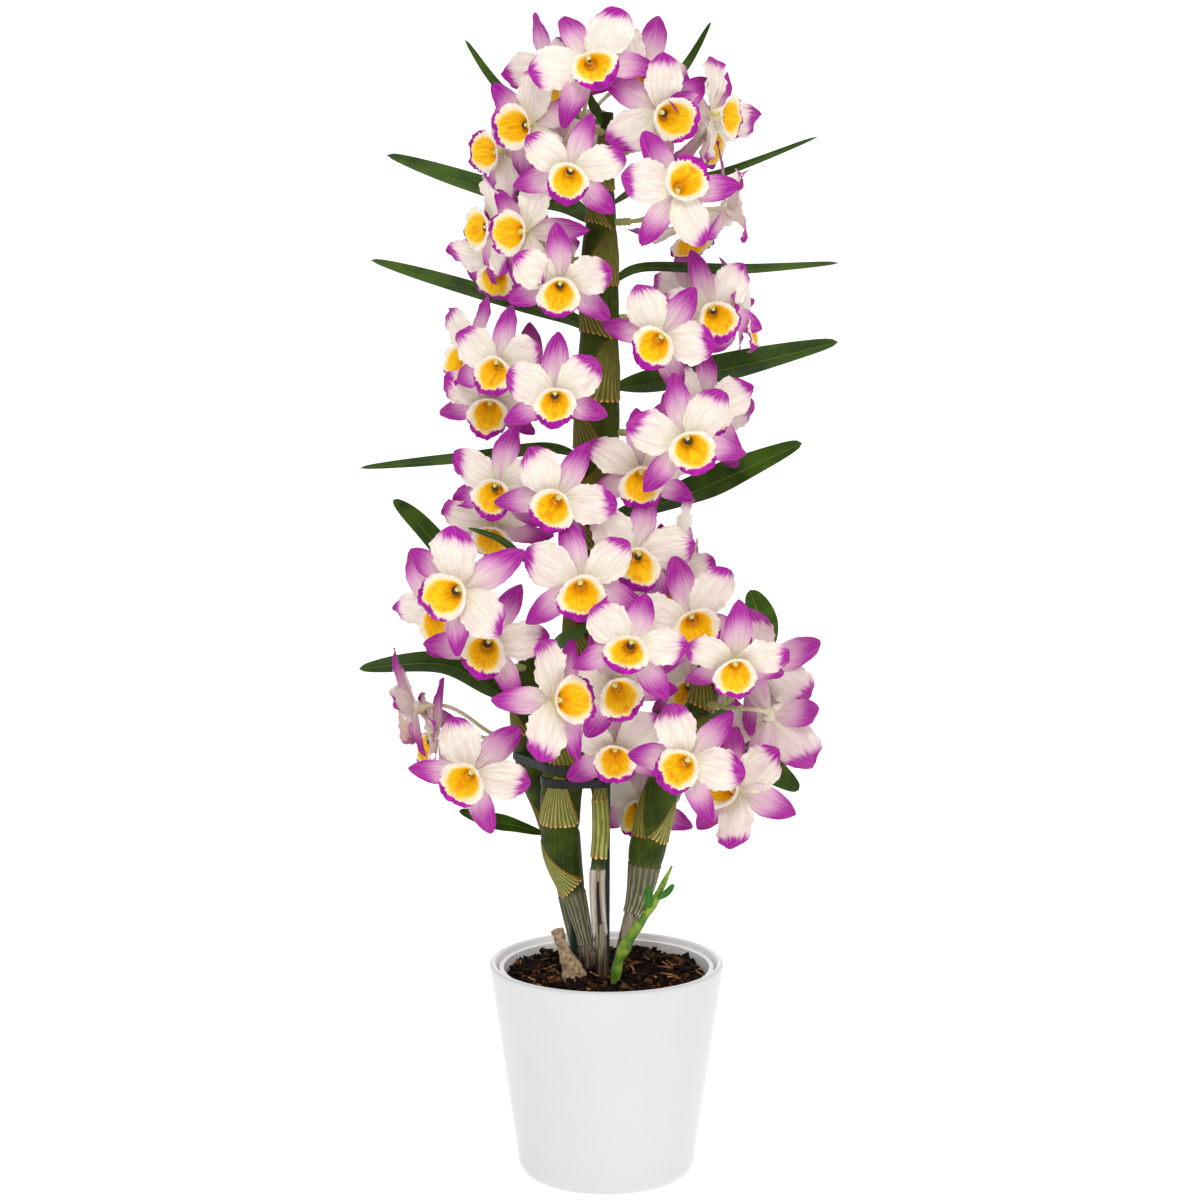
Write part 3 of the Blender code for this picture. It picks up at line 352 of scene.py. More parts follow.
class Piece:
    """A mesh in the making: tubes of points, each with its marks and its material."""

    def __init__(self):
        self.points, self.marks, self.faces, self.slots = [], [], [], []
        self.count = 0

    def tube(self, rings, marks, slot=0, ends=True):
        """Adds rings of points, joined by faces, each ring closed on itself.

        marks are three values, or arrays that spread over the rows and columns of the rings.
        ends draws each end of the tube together to its middle.
        """
        spread = np.zeros(rings.shape)
        for k, mark in enumerate(marks):
            spread[..., k] = mark
        if ends:
            rings = closed_ends(rings)
            spread = np.concatenate([spread[:1], spread, spread[-1:]])
        rows, columns = rings.shape[:2]
        index = self.count + np.arange(rows * columns).reshape(rows, columns)
        index = np.concatenate([index, index[:, :1]], axis=1)
        quads = np.stack([index[:-1, :-1], index[:-1, 1:], index[1:, 1:], index[1:, :-1]], -1)
        self.points.append(rings.reshape(-1, 3))
        self.marks.append(spread.reshape(-1, 3))
        self.faces.append(quads.reshape(-1, 4))
        self.slots.append(np.full(len(self.faces[-1]), slot))
        self.count += rows * columns
        return self

    def done(self, name, materials, material_slot, nodes, sharp=50):
        """The object, riding on the plant's one body in place of its CAD nodes."""
        mesh = bpy.data.meshes.new(name)
        faces = np.concatenate(self.faces)
        mesh.from_pydata(np.concatenate(self.points).tolist(), [], faces.tolist())
        mesh.polygons.foreach_set("material_index", np.concatenate(self.slots).astype(np.int32))
        mark = mesh.attributes.new("mark", "FLOAT_VECTOR", "POINT")
        mark.data.foreach_set("vector", np.concatenate(self.marks).astype(np.float32).ravel())
        for material in materials:
            mesh.materials.append(material)
        shape = bmesh.new()
        shape.from_mesh(mesh)
        bmesh.ops.recalc_face_normals(shape, faces=shape.faces[:])
        shape.to_mesh(mesh)
        shape.free()
        mesh.shade_smooth()
        mesh.set_sharp_from_angle(angle=math.radians(sharp))
        obj = new_object(name, mesh)
        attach(obj, "root")
        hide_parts(*nodes)


def new_object(name, data):
    obj = bpy.data.objects.new(name, data)
    bpy.context.scene.collection.objects.link(obj)
    return obj


def through(knots, steps):
    """Points and values on a smooth line through knots, each a list of numbers."""
    rows = []
    ends = [knots[0]] + list(knots) + [knots[-1]]
    for k in range(len(knots) - 1):
        a, b, c, d = ends[k:k + 4]
        for step in range(steps):
            t = step / steps
            rows.append([
                0.5 * (2 * q + (r - p) * t + (2 * p - 5 * q + 4 * r - s) * t * t
                       + (3 * q - p - 3 * r + s) * t ** 3)
                for p, q, r, s in zip(a, b, c, d)
            ])
    rows.append(list(knots[-1]))
    return rows


def directions(points):
    """The unit directions of a line at each of its points."""
    points = np.array(points)
    ahead = np.gradient(points, axis=0)
    return ahead / np.linalg.norm(ahead, axis=1, keepdims=True)


def round_angles(count):
    return 2 * np.pi * np.arange(count) / count


def tube_points(points, radii, sides):
    """Rings of points round a line. Angle 0 looks to the viewer and grows to the right."""
    centres, ahead = np.array(points), directions(points)
    start = np.array([0.0, -1.0, 0.0])
    if abs(ahead[0][1]) > 0.8:
        start = np.array([0.0, 0.0, 1.0])
    angle = round_angles(sides)[:, None]
    rings = []
    for centre, radius, axis in zip(centres, radii, ahead):
        start = start - axis * axis.dot(start)
        start /= np.linalg.norm(start)
        other = np.cross(start, axis)
        rings.append(centre + radius * (np.cos(angle) * start + np.sin(angle) * other))
    return np.array(rings)


def closed_ends(rings):
    """The rings with each end drawn together to its middle."""
    ends = np.repeat(rings[[0, -1]].mean(axis=1, keepdims=True), rings.shape[1], axis=1)
    return np.concatenate([ends[:1], rings, ends[1:]])


def turned(profile, sides=TURNED_SIDES):
    """Rings of a turned shape from (radius, height) points, in metres."""
    angle = round_angles(sides)
    radius, height = np.array(profile).T[..., None] * MM
    return np.stack([radius * np.cos(angle), radius * np.sin(angle), height + 0 * angle], -1)


def arc(centre, radius, start, end, steps):
    angles = [math.radians(start + (end - start) * k / steps) for k in range(steps + 1)]
    return [(centre[0] + radius * math.cos(a), centre[1] + radius * math.sin(a)) for a in angles]


# Pot, liner and bark

def cachepot():
    taper = (POT_TOP_RADIUS - POT_FOOT_RADIUS) / POT_HEIGHT
    rim = POT_WALL / 2
    edge = arc((POT_FOOT_RADIUS - POT_EDGE_ROUND + taper * POT_EDGE_ROUND, POT_EDGE_ROUND),
               POT_EDGE_ROUND, -90, -8, 14)
    over = arc((POT_TOP_RADIUS - rim, POT_HEIGHT - rim), rim, -8, 172, 14)
    inner_foot = POT_FOOT_RADIUS + taper * POT_FLOOR - POT_WALL
    profile = [(0, 0)] + edge + over + [(inner_foot, POT_FLOOR), (0, POT_FLOOR)]
    # Marks the inside of the pot, which its glaze paints with light
    inside = np.arange(len(profile)) > len(edge) + len(over) // 2
    piece = Piece().tube(turned(profile), (inside[:, None], 0, 0), ends=False)
    piece.done("pot_glazed", [glaze_paint()], "glaze", ["cachepot"])


def liner():
    top = POT_HEIGHT - LINER_BELOW_RIM
    foot = POT_FLOOR + 0.3
    lip_low = top - 3 * LINER_LIP
    roll = LINER_LIP / 2
    profile = [
        (0, foot), (LINER_FOOT_RADIUS, foot), (LINER_TOP_RADIUS - LINER_LIP, lip_low),
        (LINER_TOP_RADIUS, lip_low),
        *arc((LINER_TOP_RADIUS - roll, top - roll), roll, 0, 90, 4),
        (LINER_TOP_RADIUS - LINER_LIP - LINER_WALL, top - 0.4),
        (LINER_FOOT_RADIUS - LINER_WALL, foot + LINER_WALL), (0, foot + LINER_WALL),
    ]
    paint = plastic_paint("liner_plastic", (252, 252, 250), (243, 242, 238), 0.4, 0.12)
    piece = Piece().tube(turned(profile), (0, 0, 0), ends=False)
    piece.done("liner_moulded", [paint], "liner", ["grow_pot"], sharp=35)


def bark_radius(height):
    """The liner's inner radius at a height, in millimetres."""
    share = (height - POT_FLOOR) / (POT_HEIGHT - LINER_BELOW_RIM - POT_FLOOR)
    narrow = LINER_FOOT_RADIUS - LINER_WALL
    return narrow + (LINER_TOP_RADIUS - LINER_LIP - LINER_WALL - narrow) * share


BARK_TOP = POT_HEIGHT - BARK_BELOW_RIM
BARK_DEPTH = 85.0
BED_BELOW_CHIPS, BED_CLEAR = 1.5, 0.6
BED_RINGS, BED_SIDES = 26, 96
CHIPS, SLIVERS = 900, 60
CHIPS_OFF_FEET = 2.0
CHIP_SIZES = ((3, 11), (1.5, 5.0), (1.0, 3.0))
SLIVER_SIZES = ((6, 13), (0.5, 1.1), (0.4, 0.8))


def bark_height(x, y):
    """The height of the bed of bark at a place, in millimetres."""
    rough = noise.fractal(Vector((x * 0.11, y * 0.11, 3.7)), 1.0, 2.0, 3)
    lump = noise.noise(Vector((x * 0.035, y * 0.035, 1.3)))
    edge = max(0.0, math.hypot(x, y) / bark_radius(BARK_TOP) - 0.8)
    return BARK_TOP + BARK_RELIEF * (0.55 * rough + 0.7 * lump) - 6 * edge


def chip(centre, size, turn, lean, draw):
    """The eight corners of a splintered chip, as two rows of four."""
    corners = []
    for end in (-1, 1):
        for a, b in ((-1, -1), (1, -1), (1, 1), (-1, 1)):
            halves = [length * draw.uniform(0.65, 1.15) / 2 for length in size]
            corners.append(Vector((end * halves[0], a * halves[1], b * halves[2])))
    ahead = Vector((math.cos(turn) * math.cos(lean), math.sin(turn) * math.cos(lean),
                    math.sin(lean)))
    roll = Quaternion((1, 0, 0), draw.uniform(-0.6, 0.6))
    spin = Vector((1, 0, 0)).rotation_difference(ahead) @ roll
    return np.array([(centre + spin @ corner) * MM for corner in corners]).reshape(2, 4, 3)


def bark():
    """The bed of bark, its loose chips and pale slivers."""
    draw = random.Random(11)
    radius = bark_radius(BARK_TOP) - BED_CLEAR
    bed = turned([(radius * ring / BED_RINGS, 0) for ring in range(BED_RINGS + 1)], BED_SIDES)
    for point in bed.reshape(-1, 3):
        point[2] = (bark_height(point[0] / MM, point[1] / MM) - BED_BELOW_CHIPS) * MM
    low = BARK_TOP - BARK_DEPTH
    under = turned([(bark_radius(low) - BED_CLEAR, low), (0, low)], BED_SIDES)
    piece = Piece().tube(np.concatenate([bed, under]), (0, 0, 0), ends=False)
    for k in range(CHIPS + SLIVERS):
        sliver = k >= CHIPS
        a, r = draw.uniform(0, 2 * math.pi), radius * math.sqrt(draw.random()) * 0.93
        x, y = r * math.cos(a), r * math.sin(a)
        if min(math.hypot(x - fx, y - fy) - fr for fx, fy, fr in FEET) < CHIPS_OFF_FEET:
            continue
        size = [draw.uniform(*span) for span in (SLIVER_SIZES if sliver else CHIP_SIZES)]
        centre = Vector((x, y, bark_height(x, y) + draw.uniform(-0.4, 1.4) + 0.6 * sliver))
        lean = draw.uniform(-0.55, 0.55) * (0.5 if sliver else 1)
        box = chip(centre, size, draw.uniform(0, 2 * math.pi), lean, draw)
        piece.tube(box, (0, 0, k), 3 if sliver else draw.choice((1, 1, 1, 1, 2)))
    paints = [
        # The bed between the chips is nearly black: its own dark bark and painted shade of the gaps
        bark_paint("bark_bed_and_shade", (4, 3, 2), (16, 9, 5), 0.6),
        bark_paint("bark_dark", (10, 6, 4), (44, 25, 13), 0.6),
        bark_paint("bark_brown", (56, 31, 14), (140, 90, 48), 0.5),
        bark_paint("bark_sliver", (150, 92, 40), (216, 172, 112), 0.3),
    ]
    piece.done("bark_chips", paints, "bark", ["bark_mix"], sharp=25)


# Canes. A knot gives the cane's middle in the best view, its depth and its width in mm.

def knot(px, py, depth, width):
    return (px, py, depth, width)


CANES = {
    "main": [
        knot(592, 1010, 4, 8), knot(592, 972, 4, 8), knot(587, 945, 5, 8),
        knot(577, 905, 6, 12), knot(562, 850, 6, 22), knot(561, 797, 6, 23),
        knot(568, 755, 6, 25), knot(578, 700, 6, 23), knot(585, 620, 5, 24),
        knot(592, 520, 4, 25), knot(597, 420, 3, 25), knot(599, 340, 2, 22),
        knot(600, 250, 1, 20), knot(603, 180, 0, 12), knot(608, 112, 0, 6),
    ],
    "left": [
        knot(582, 1000, 26, 8), knot(580, 960, 26, 8), knot(571, 905, 33, 12),
        knot(551, 812, 41, 18), knot(534, 770, 41, 19), knot(526, 716, 39, 18),
        knot(527, 675, 37, 14), knot(530, 646, 36, 8),
    ],
    "centre": [
        knot(602, 1005, -6, 7), knot(602, 965, -6, 7), knot(597, 886, -6, 8),
        knot(601, 828, -4, 9), knot(598, 780, 0, 8), knot(597, 752, 4, 5),
    ],
    "right": [
        knot(616, 1005, 2, 6), knot(618, 966, 2, 6), knot(629, 923, 2, 8.2),
        knot(640, 890, 2, 14.5), knot(648, 845, 2, 21), knot(663, 785, 2, 20),
        knot(682, 740, 2, 19), knot(702, 702, 4, 17), knot(714, 655, 8, 14),
        knot(716, 626, 9, 9),
    ],
}
STUMP = [
    knot(577, 1000, -10, 12), knot(575, 982, -10, 15), knot(570, 963, -10, 11),
    knot(562, 946, -10, 6), knot(557, 930, -10, 8),
]
SHOOT_DEPTH = -24
SHOOT = [
    knot(614, 1000, SHOOT_DEPTH, 5), knot(617, 968, SHOOT_DEPTH, 6),
    knot(626, 945, SHOOT_DEPTH, 7), knot(641, 922, SHOOT_DEPTH, 5),
    knot(655, 900, SHOOT_DEPTH, 5), knot(672, 866, SHOOT_DEPTH, 1.2),
]
STAKES = {
    "stake_left": [(577, 1030, 16), (566, 760, 24)],
    "stake_middle": [(606, 1030, 10), (607, 768, 13)],
}
STAKE_RADIUS = 2.0

# Where each cane's joints show, from its foot up, and below which height it is dry
JOINTS = {
    "main": [1000, 945, 893, 828, 768, 708, 652, 600, 548, 500, 453, 395, 335, 280, 225, 185,
             150, 126],
    "left": [1000, 948, 892, 832, 775, 730, 690, 660],
    "centre": [1000, 953, 862, 795, 765],
    "right": [1000, 966, 914, 866, 836, 775, 706, 662, 634],
}
DRY_BELOW = {"main": 893, "left": 900, "centre": 870, "right": 866}
FOOT_BELOW, FOOT_FADE = 945, 20
FINE_STEPS = 10
CANE_SIDES = 40
SHEATH_ROWS, SHEATH_THICK = 14, 0.22


def rows_of(knots, steps=FINE_STEPS):
    """Centres in metres, radii in metres and heights in the view along a row of knots."""
    rows = through(knots, steps)
    centres = [seen(px, py, depth) for px, py, depth, _ in rows]
    return centres, [row[3] / 2 * MM for row in rows], [row[1] for row in rows]


def crossing(knots, height):
    """The centre and radius of a cane at a height, in metres."""
    centres, radii, _ = rows_of(knots, 6)
    best = min(range(len(centres)), key=lambda k: abs(centres[k].z - height))
    return centres[best], radii[best]


FEET = []
for foot_knots in (*CANES.values(), STUMP, SHOOT):
    centre, radius = crossing(foot_knots, BARK_TOP * MM)
    FEET.append((centre.x / MM, centre.y / MM, radius / MM))
for foot_end, head_end in STAKES.values():
    centre = seen(*foot_end).lerp(seen(*head_end), 0.1)
    FEET.append((centre.x / MM, centre.y / MM, STAKE_RADIUS))


def internode(py, joints):
    """How far up its internode a height of the view lies, 0 at the joint below it."""
    for low, high in zip(joints, joints[1:]):
        if high <= py <= low:
            return (low - py) / (low - high)
    return 0.5


def swollen(name):
    """A cane's centres, radii, heights in the view, and how far up its internode each lies."""
    centres, radii, heights = rows_of(CANES[name])
    shares = np.array([internode(py, JOINTS[name]) for py in heights])
    return centres, np.array(radii) * (1 + 0.05 * np.sin(np.pi * shares)), np.array(heights), shares


def cane(name):
    """A pseudobulb: pinched at its joints, full between them, dry at its foot."""
    centres, radii, heights, shares = swollen(name)
    pinch = np.exp(-(shares / 0.05) ** 2) + np.exp(-((1 - shares) / 0.05) ** 2)
    rings = tube_points(centres, radii * (1 - 0.07 * pinch), CANE_SIDES)
    dry = 1 / (1 + np.exp(-(heights - DRY_BELOW[name]) / 3.0))
    dry += np.clip((heights - FOOT_BELOW) / FOOT_FADE, 0, 1)
    return Piece().tube(rings, (shares[:, None], 0, dry[:, None]))


def sheath(piece, name, low, high, facing, wide, narrow, slot, slant=0, ribs=13, clear=0.35):
    """A leaf base round a cane: wide and fringed at the joint below, narrow at its top.

    low and high are heights in the view, facing is the way it looks in degrees (0 to the
    viewer, 90 to the right), wide and narrow are half of what it wraps at its ends, and slant
    lowers its edge on the facing side, in view heights.
    """
    draw = random.Random(f"{name} {low}")
    teeth = np.array([draw.uniform(0.2, 1.0) for _ in range(ribs + 2)])
    centres, radii, heights, _ = swollen(name)
    middles, ahead = np.array(centres), directions(centres)
    order = np.argsort(heights)
    heights = heights[order]

    def at(values, py):
        """The cane's values at heights of the view."""
        return np.stack([np.interp(py, heights, column) for column in values[order].T], -1)

    up = np.linspace(0, 1, SHEATH_ROWS)
    across = np.linspace(-1, 1, 6 * ribs + 1)
    rib = np.cos(np.pi * ribs * (across + 1))
    tooth = 1.8 * (rib > 0) * rib * teeth[np.round((across + 1) / 2 * ribs).astype(int)]
    rings = []
    for h in up:
        turn = across * math.radians(wide + (narrow - wide) * h ** 0.8)
        angle = math.radians(facing) + turn
        py = low + (high - low) * h + slant * (1 - h) * np.cos(turn)
        py = py + tooth * max(0.0, 1 - h / 0.10)
        centre, axis, radius = at(middles, py), at(ahead, py), at(radii[:, None], py)
        side = np.stack([np.sin(angle), -np.cos(angle), np.zeros(len(angle))], -1)
        side -= axis * (side * axis).sum(-1, keepdims=True)
        side /= np.linalg.norm(side, axis=-1, keepdims=True)
        lift = clear + 0.20 * rib * (1 - 0.6 * h) + 0.3 * max(0.0, 1 - h / 0.12)
        lift = (lift - 0.25 * np.abs(across) ** 6)[:, None]
        outer, inner = [centre + side * (radius + out * MM) for out in (lift, lift - SHEATH_THICK)]
        rings.append(np.concatenate([outer, inner[::-1]]))
    both = np.concatenate([across, across[::-1]])
    piece.tube(np.array(rings), (up[:, None], (both + 1) * ribs / 2, both), slot)


# The canes' materials after their skin
FAN, PAPER, OLIVE, PALE, SLIT_SHADE = range(1, 6)


def canes():
    materials = [
        cane_paint(),
        sheath_paint("fan_sheath", (108, 110, 40), (172, 168, 98), (164, 88, 10),
                     (240, 216, 150), hold=0.7),
        sheath_paint("paper_sheath", (92, 90, 62), (166, 164, 136), (120, 96, 66),
                     (208, 200, 178)),
        sheath_paint("olive_sheath", (84, 88, 20), (138, 130, 60), (150, 80, 14),
                     (200, 172, 104)),
        sheath_paint("pale_sheath", (184, 170, 154), (228, 220, 208), (96, 66, 48),
                     (214, 204, 190)),
        # A dark sheet that paints the shade in the split of the centre cane's pale sheath
        sheath_paint("slit_shade", (44, 30, 26), (74, 52, 44), (44, 30, 26), (74, 52, 44)),
    ]

    pieces = {name: cane(name) for name in CANES}

    def wrap(name, *place, **shape):
        sheath(pieces[name], name, *place, **shape)

    wrap("main", 886, 838, -80, 146, 8, FAN, slant=7, ribs=19)
    wrap("main", 820, 774, -12, 84, 16, FAN, slant=3, ribs=12)
    wrap("main", 942, 893, 20, 179, 179, PAPER, ribs=15)
    joints = JOINTS["main"][4:]
    for k, (low, high) in enumerate(zip(joints, joints[1:])):
        facing, slant = (34, 5) if k % 2 else (-74, -5)
        wrap("main", low, high + 4, facing, 128, 16, OLIVE, slant=slant, ribs=15)

    wrap("left", 945, 895, 0, 179, 179, PAPER, ribs=13)
    wrap("left", 892, 836, 70, 140, 20, OLIVE)
    wrap("left", 832, 779, -110, 130, 20, OLIVE)
    wrap("left", 730, 693, -100, 130, 20, OLIVE)

    wrap("centre", 934, 869, 186, 160, 172, PALE, ribs=9, clear=0.5)
    # Painted shade: a dark strip just under the pale sheath, filling the split between its edges
    wrap("centre", 922, 880, 8, 30, 8, SLIT_SHADE, ribs=3, clear=0.15)
    wrap("centre", 857, 800, 0, 179, 150, FAN, ribs=9)
    wrap("centre", 800, 770, 60, 150, 30, OLIVE, ribs=9)

    wrap("right", 912, 864, 20, 179, 170, PAPER, slant=-2, ribs=15)
    wrap("right", 830, 796, 64, 74, 12, FAN, slant=8, ribs=10)
    wrap("right", 832, 792, -70, 56, 10, OLIVE, slant=4, ribs=8)
    wrap("right", 775, 712, 40, 140, 22, OLIVE)
    wrap("right", 706, 664, -60, 140, 22, OLIVE)

    for name, piece in pieces.items():
        piece.done(f"cane_{name}_fine", materials, "cane", [f"cane_{name}"])


def stump():
    """The cut stub of an old cane, with its knobby foot and frayed top."""
    centres, radii, _ = rows_of(STUMP, 8)
    rings = tube_points(centres, radii, 24)
    for ring in rings:
        middle = ring.mean(axis=0)
        for k, point in enumerate(ring):
            bump = noise.fractal(Vector(point) * 190, 1.0, 2.0, 3)
            ring[k] = middle + (point - middle) * (1 + 0.22 * bump)
    paint = speckled_paint("stump_skin", (138, 106, 76), (196, 172, 136), 380.0, 0.8, bump=0.001)
    Piece().tube(rings, (0, 0, 0)).done("stump_fine", [paint], "dry_cane", ["old_stump"])


# Thin blades: leaves and the shoot's small leaves

LEAF_FACE = Vector((0, -0.75, 0.66))
LEAF_THICK = 1.1
SEAT = 0.35
SEARCH = 40.0


def blade_turns(spine, outward, face):
    """The across and front vectors of a blade, carried from the tip to the foot without a twist."""
    turns = []
    front = face
    for k in reversed(range(len(spine))):
        ahead = spine[min(k + 1, len(spine) - 1)] - spine[max(k - 1, 0)] if k else outward
        ahead = ahead.normalized()
        front = (front - ahead * front.dot(ahead)).normalized()
        turns.insert(0, (ahead.cross(front), front))
    return turns


def leaf_width(share):
    """A strap leaf's width along it: narrow foot, broad middle, long point."""
    along = 0.06 + 0.92 * share
    return max(0.3 * (1 - share) ** 0.5, math.sin(math.pi * along ** 1.15) ** 0.7)


def blade(piece, spine, outward, face, width, own, slot=0, columns=10):
    """A thin leaf along a line, channelled along its midrib, its edges slightly waved."""
    spine = [Vector(point) for point in spine]
    width, thick = width * MM, LEAF_THICK * MM
    across = np.linspace(-1, 1, columns + 1)
    shares = np.linspace(0, 1, len(spine))
    rings = []
    for share, point, (side, front) in zip(shares, spine, blade_turns(spine, outward, face)):
        half = width / 2 * leaf_width(share) * (1 - max(0.0, share - 0.97) / 0.03 * 0.97)
        channel = 0.25 * half * (np.abs(across) ** 1.3)
        wave = 0.05 * half * np.abs(across) ** 2 * np.sin(14 * share + 2.0 * np.sign(across) + own)
        height = channel + wave - 0.12 * half * np.exp(-(across / 0.08) ** 2)
        depth = thick * (0.25 + 0.75 * (1 - across ** 2)) * (1 - 0.5 * share)
        keel = 0.25 * thick * np.exp(-(across / 0.10) ** 2)
        flat = np.outer(across * half, side) + np.array(point)
        top = flat + np.outer(height + depth / 2, front)
        under = flat + np.outer(height - depth / 2 - keel, front)
        rings.append(np.concatenate([top, under[::-1]]))
    both = np.concatenate([across, across[::-1]])
    owns = own + (np.arange(len(both)) > columns)
    piece.tube(np.array(rings), (shares[:, None], both, owns), slot)


def leaf(cane_name, node, via, tip, width):
    """A leaf from the height node of a cane, past the via points to its tip. Width in mm."""
    return dict(cane=cane_name, node=node, via=via, tip=tip, width=width)


# leaf_01 to leaf_18
LEAVES = [
    leaf("main", 128, [(565, 112, 26), (507, 95, 42)], (465, 40, 38), 7),
    leaf("main", 124, [(655, 98, 36), (686, 66, 42)], (711, 22, 36), 6),
    leaf("main", 226, [(560, 204, 30), (490, 190, 44)], (387, 155, 36), 17),
    leaf("main", 203, [(650, 184, 32), (715, 176, 40)], (817, 137, 32), 7),
    leaf("main", 334, [(560, 316, 24), (470, 290, 50)], (371, 260, 43), 13),
    leaf("main", 288, [(645, 268, 24), (740, 270, 34)], (838, 263, 28), 8),
    leaf("main", 393, [(660, 382, 22), (740, 366, 45)], (838, 342, 36), 21),
    leaf("main", 462, [(545, 449, 20), (470, 458, 30)], (360, 468, 24), 9),
    leaf("main", 520, [(680, 497, 38), (735, 474, 40)], (802, 443, 32), 21),
    leaf("left", 655, [(470, 585, 42), (424, 530, 36)], (393, 500, 30), 15),
    leaf("main", 590, [(529, 562, -36), (500, 540, -38)], (468, 528, -38), 5),
    leaf("left", 702, [(490, 688, 38), (440, 664, 32)], (359, 669, 24), 17),
    leaf("left", 832, [(510, 825, 34), (486, 820, 28)], (459, 811, 22), 11),
    leaf("right", 690, [(744, 660, 26), (760, 626, 30)], (750, 590, 28), 23),
    leaf("right", 712, [(736, 736, 22), (764, 766, 20)], (799, 790, 16), 21),
    leaf("centre", 764, [(620, 745, 33), (648, 724, 38)], (674, 711, 36), 12),
    leaf("main", 122, [(597, 112, -5), (592, 104, -8)], (588, 92, -10), 6),
    leaf("left", 680, [(549, 656, 6), (565, 640, -15)], (602, 621, -24), 10),
]


def skin_tree(node):
    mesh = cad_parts[node].data
    corners = [vertex.co for vertex in mesh.vertices]
    return BVHTree.FromPolygons(corners, [face.vertices for face in mesh.polygons])


CANE_SKINS = {name: skin_tree(f"cane_{name}") for name in CANES}


def seat(name, py, towards):
    """A foot's place just off a cane's skin, and the way out of the skin there."""
    row = min(through(CANES[name], 8), key=lambda r: abs(r[1] - py))
    middle = seen(*row[:3])
    away = towards - middle
    away.z = 0
    away.normalize()
    spot, outward, _, _ = CANE_SKINS[name].ray_cast(middle + away * (SEARCH * MM), -away)
    return spot + outward * (SEAT * MM), outward


def leaves():
    paint = leaf_paint("leaf_skin", (26, 54, 0), (64, 96, 4), (122, 142, 48))
    draw = random.Random(5)
    for number, row in enumerate(LEAVES, 1):
        name = f"leaf_{number:02}"
        passing = [seen(*point) for point in row["via"] + [row["tip"]]]
        foot, outward = seat(row["cane"], row["node"], passing[0])
        piece = Piece()
        blade(piece, through([foot] + passing, 12), outward, LEAF_FACE, row["width"],
              draw.random())
        piece.done(name + "_fine", [paint], "leaf", [name])


SHOOT_LEAVES = [
    dict(base=(646, 914), tip=(648, 884), width=5),
    dict(base=(655, 900), tip=(674, 884), width=4),
]


def new_shoot():
    """The young growth: a bent green stem with folded leaf bases and small leaves."""
    centres, radii, heights = rows_of(SHOOT, 8)
    lumps = 1 + 0.10 * np.sin(np.array(heights) * 0.28)
    piece = Piece().tube(tube_points(centres, np.array(radii) * lumps, 24), (0, 0, 0))
    for number, row in enumerate(SHOOT_LEAVES):
        spine = [seen(*row["base"], SHOOT_DEPTH), seen(*row["tip"], SHOOT_DEPTH - 3)]
        spine.insert(1, (spine[0] + spine[1]) / 2 + Vector((1, -2, 0)) * MM)
        blade(piece, through(spine, 6), spine[1] - spine[0], Vector((0, -1, 0)), row["width"],
              0.3 * number, slot=1, columns=6)
    paints = [speckled_paint("shoot_skin", (72, 116, 10), (140, 166, 40), 160.0, 0.5),
              leaf_paint("shoot_leaf", (24, 84, 14), (60, 124, 30), (120, 168, 70))]
    piece.done("shoot_fine", paints, "shoot", ["new_shoot"])


# Stakes and ties

def stakes():
    paint = plastic_paint("stake_plastic", (10, 34, 26), (28, 60, 48), 0.45, 0.25)
    for name, ends in STAKES.items():
        foot, head = [seen(*end) for end in ends]
        points = [foot.lerp(head, k / 30) for k in range(31)]
        swells = [1 + 0.02 * (-1) ** k for k in range(29)] + [0.9, 0.5]
        rings = tube_points(points, STAKE_RADIUS * MM * np.array(swells), 20)
        Piece().tube(rings, (0, 0, 0)).done(name + "_fine", [paint], "stake", [name])


def ties():
    """The ties keep their CAD shape and take a scuffed dark green."""
    paint = plastic_paint("tie_plastic", (4, 12, 10), (14, 28, 22), 0.6, 0.3)
    for name in ("tie_left", "tie_right"):
        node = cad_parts[name]
        node.data.materials.clear()
        node.data.materials.append(paint)


# Blooms. Millimetres in the bloom's own frame: +Z is where it faces, +Y the dorsal sepal.

SEPAL, PETAL, LIP, COLUMN, CAP, HOLLOW_SHADE, STALK = range(7)
TEPALS = [
    dict(kind=SEPAL, angle=0, length=36, width=18, lift=-0.08),
    dict(kind=PETAL, angle=62, length=32, width=27, lift=0.12),
    dict(kind=SEPAL, angle=121, length=34, width=17, lift=-0.10),
    dict(kind=SEPAL, angle=239, length=34, width=17, lift=-0.10),
    dict(kind=PETAL, angle=298, length=32, width=27, lift=0.12),
]

# The mesh of each kind, its shape, and between what its turns and bends are drawn
TEPAL_KINDS = {
    SEPAL: dict(rows=18, columns=12, lean=0.98, frill=0.4, waves=(0.8, 0.35),
                spread=(-0.20, 0.12), curl=(-1.5, 6.0), cup=(0.0, 0.42)),
    PETAL: dict(rows=26, columns=16, lean=1.12, frill=1.0, waves=(1.8, 1.0),
                spread=(-0.12, 0.26), curl=(-3.5, 5.0), cup=(-0.20, 0.26)),
}
LIP_ROWS, LIP_COLUMNS = 15, 72
# The share of blooms whose hollow under the column shows as a large ball of painted shade
SHADED_THROATS = 0.5
# Added to the seed of these sprays, so that their petals pass clear of their neighbours
CLEAR_DRAWS = {"spray_02": " 2", "spray_03": " 21", "spray_04": " 2", "spray_10": " 4"}
THROAT_RADIUS, THROAT_DEPTH, LIP_WALL = 2.8, -3.2, 0.5


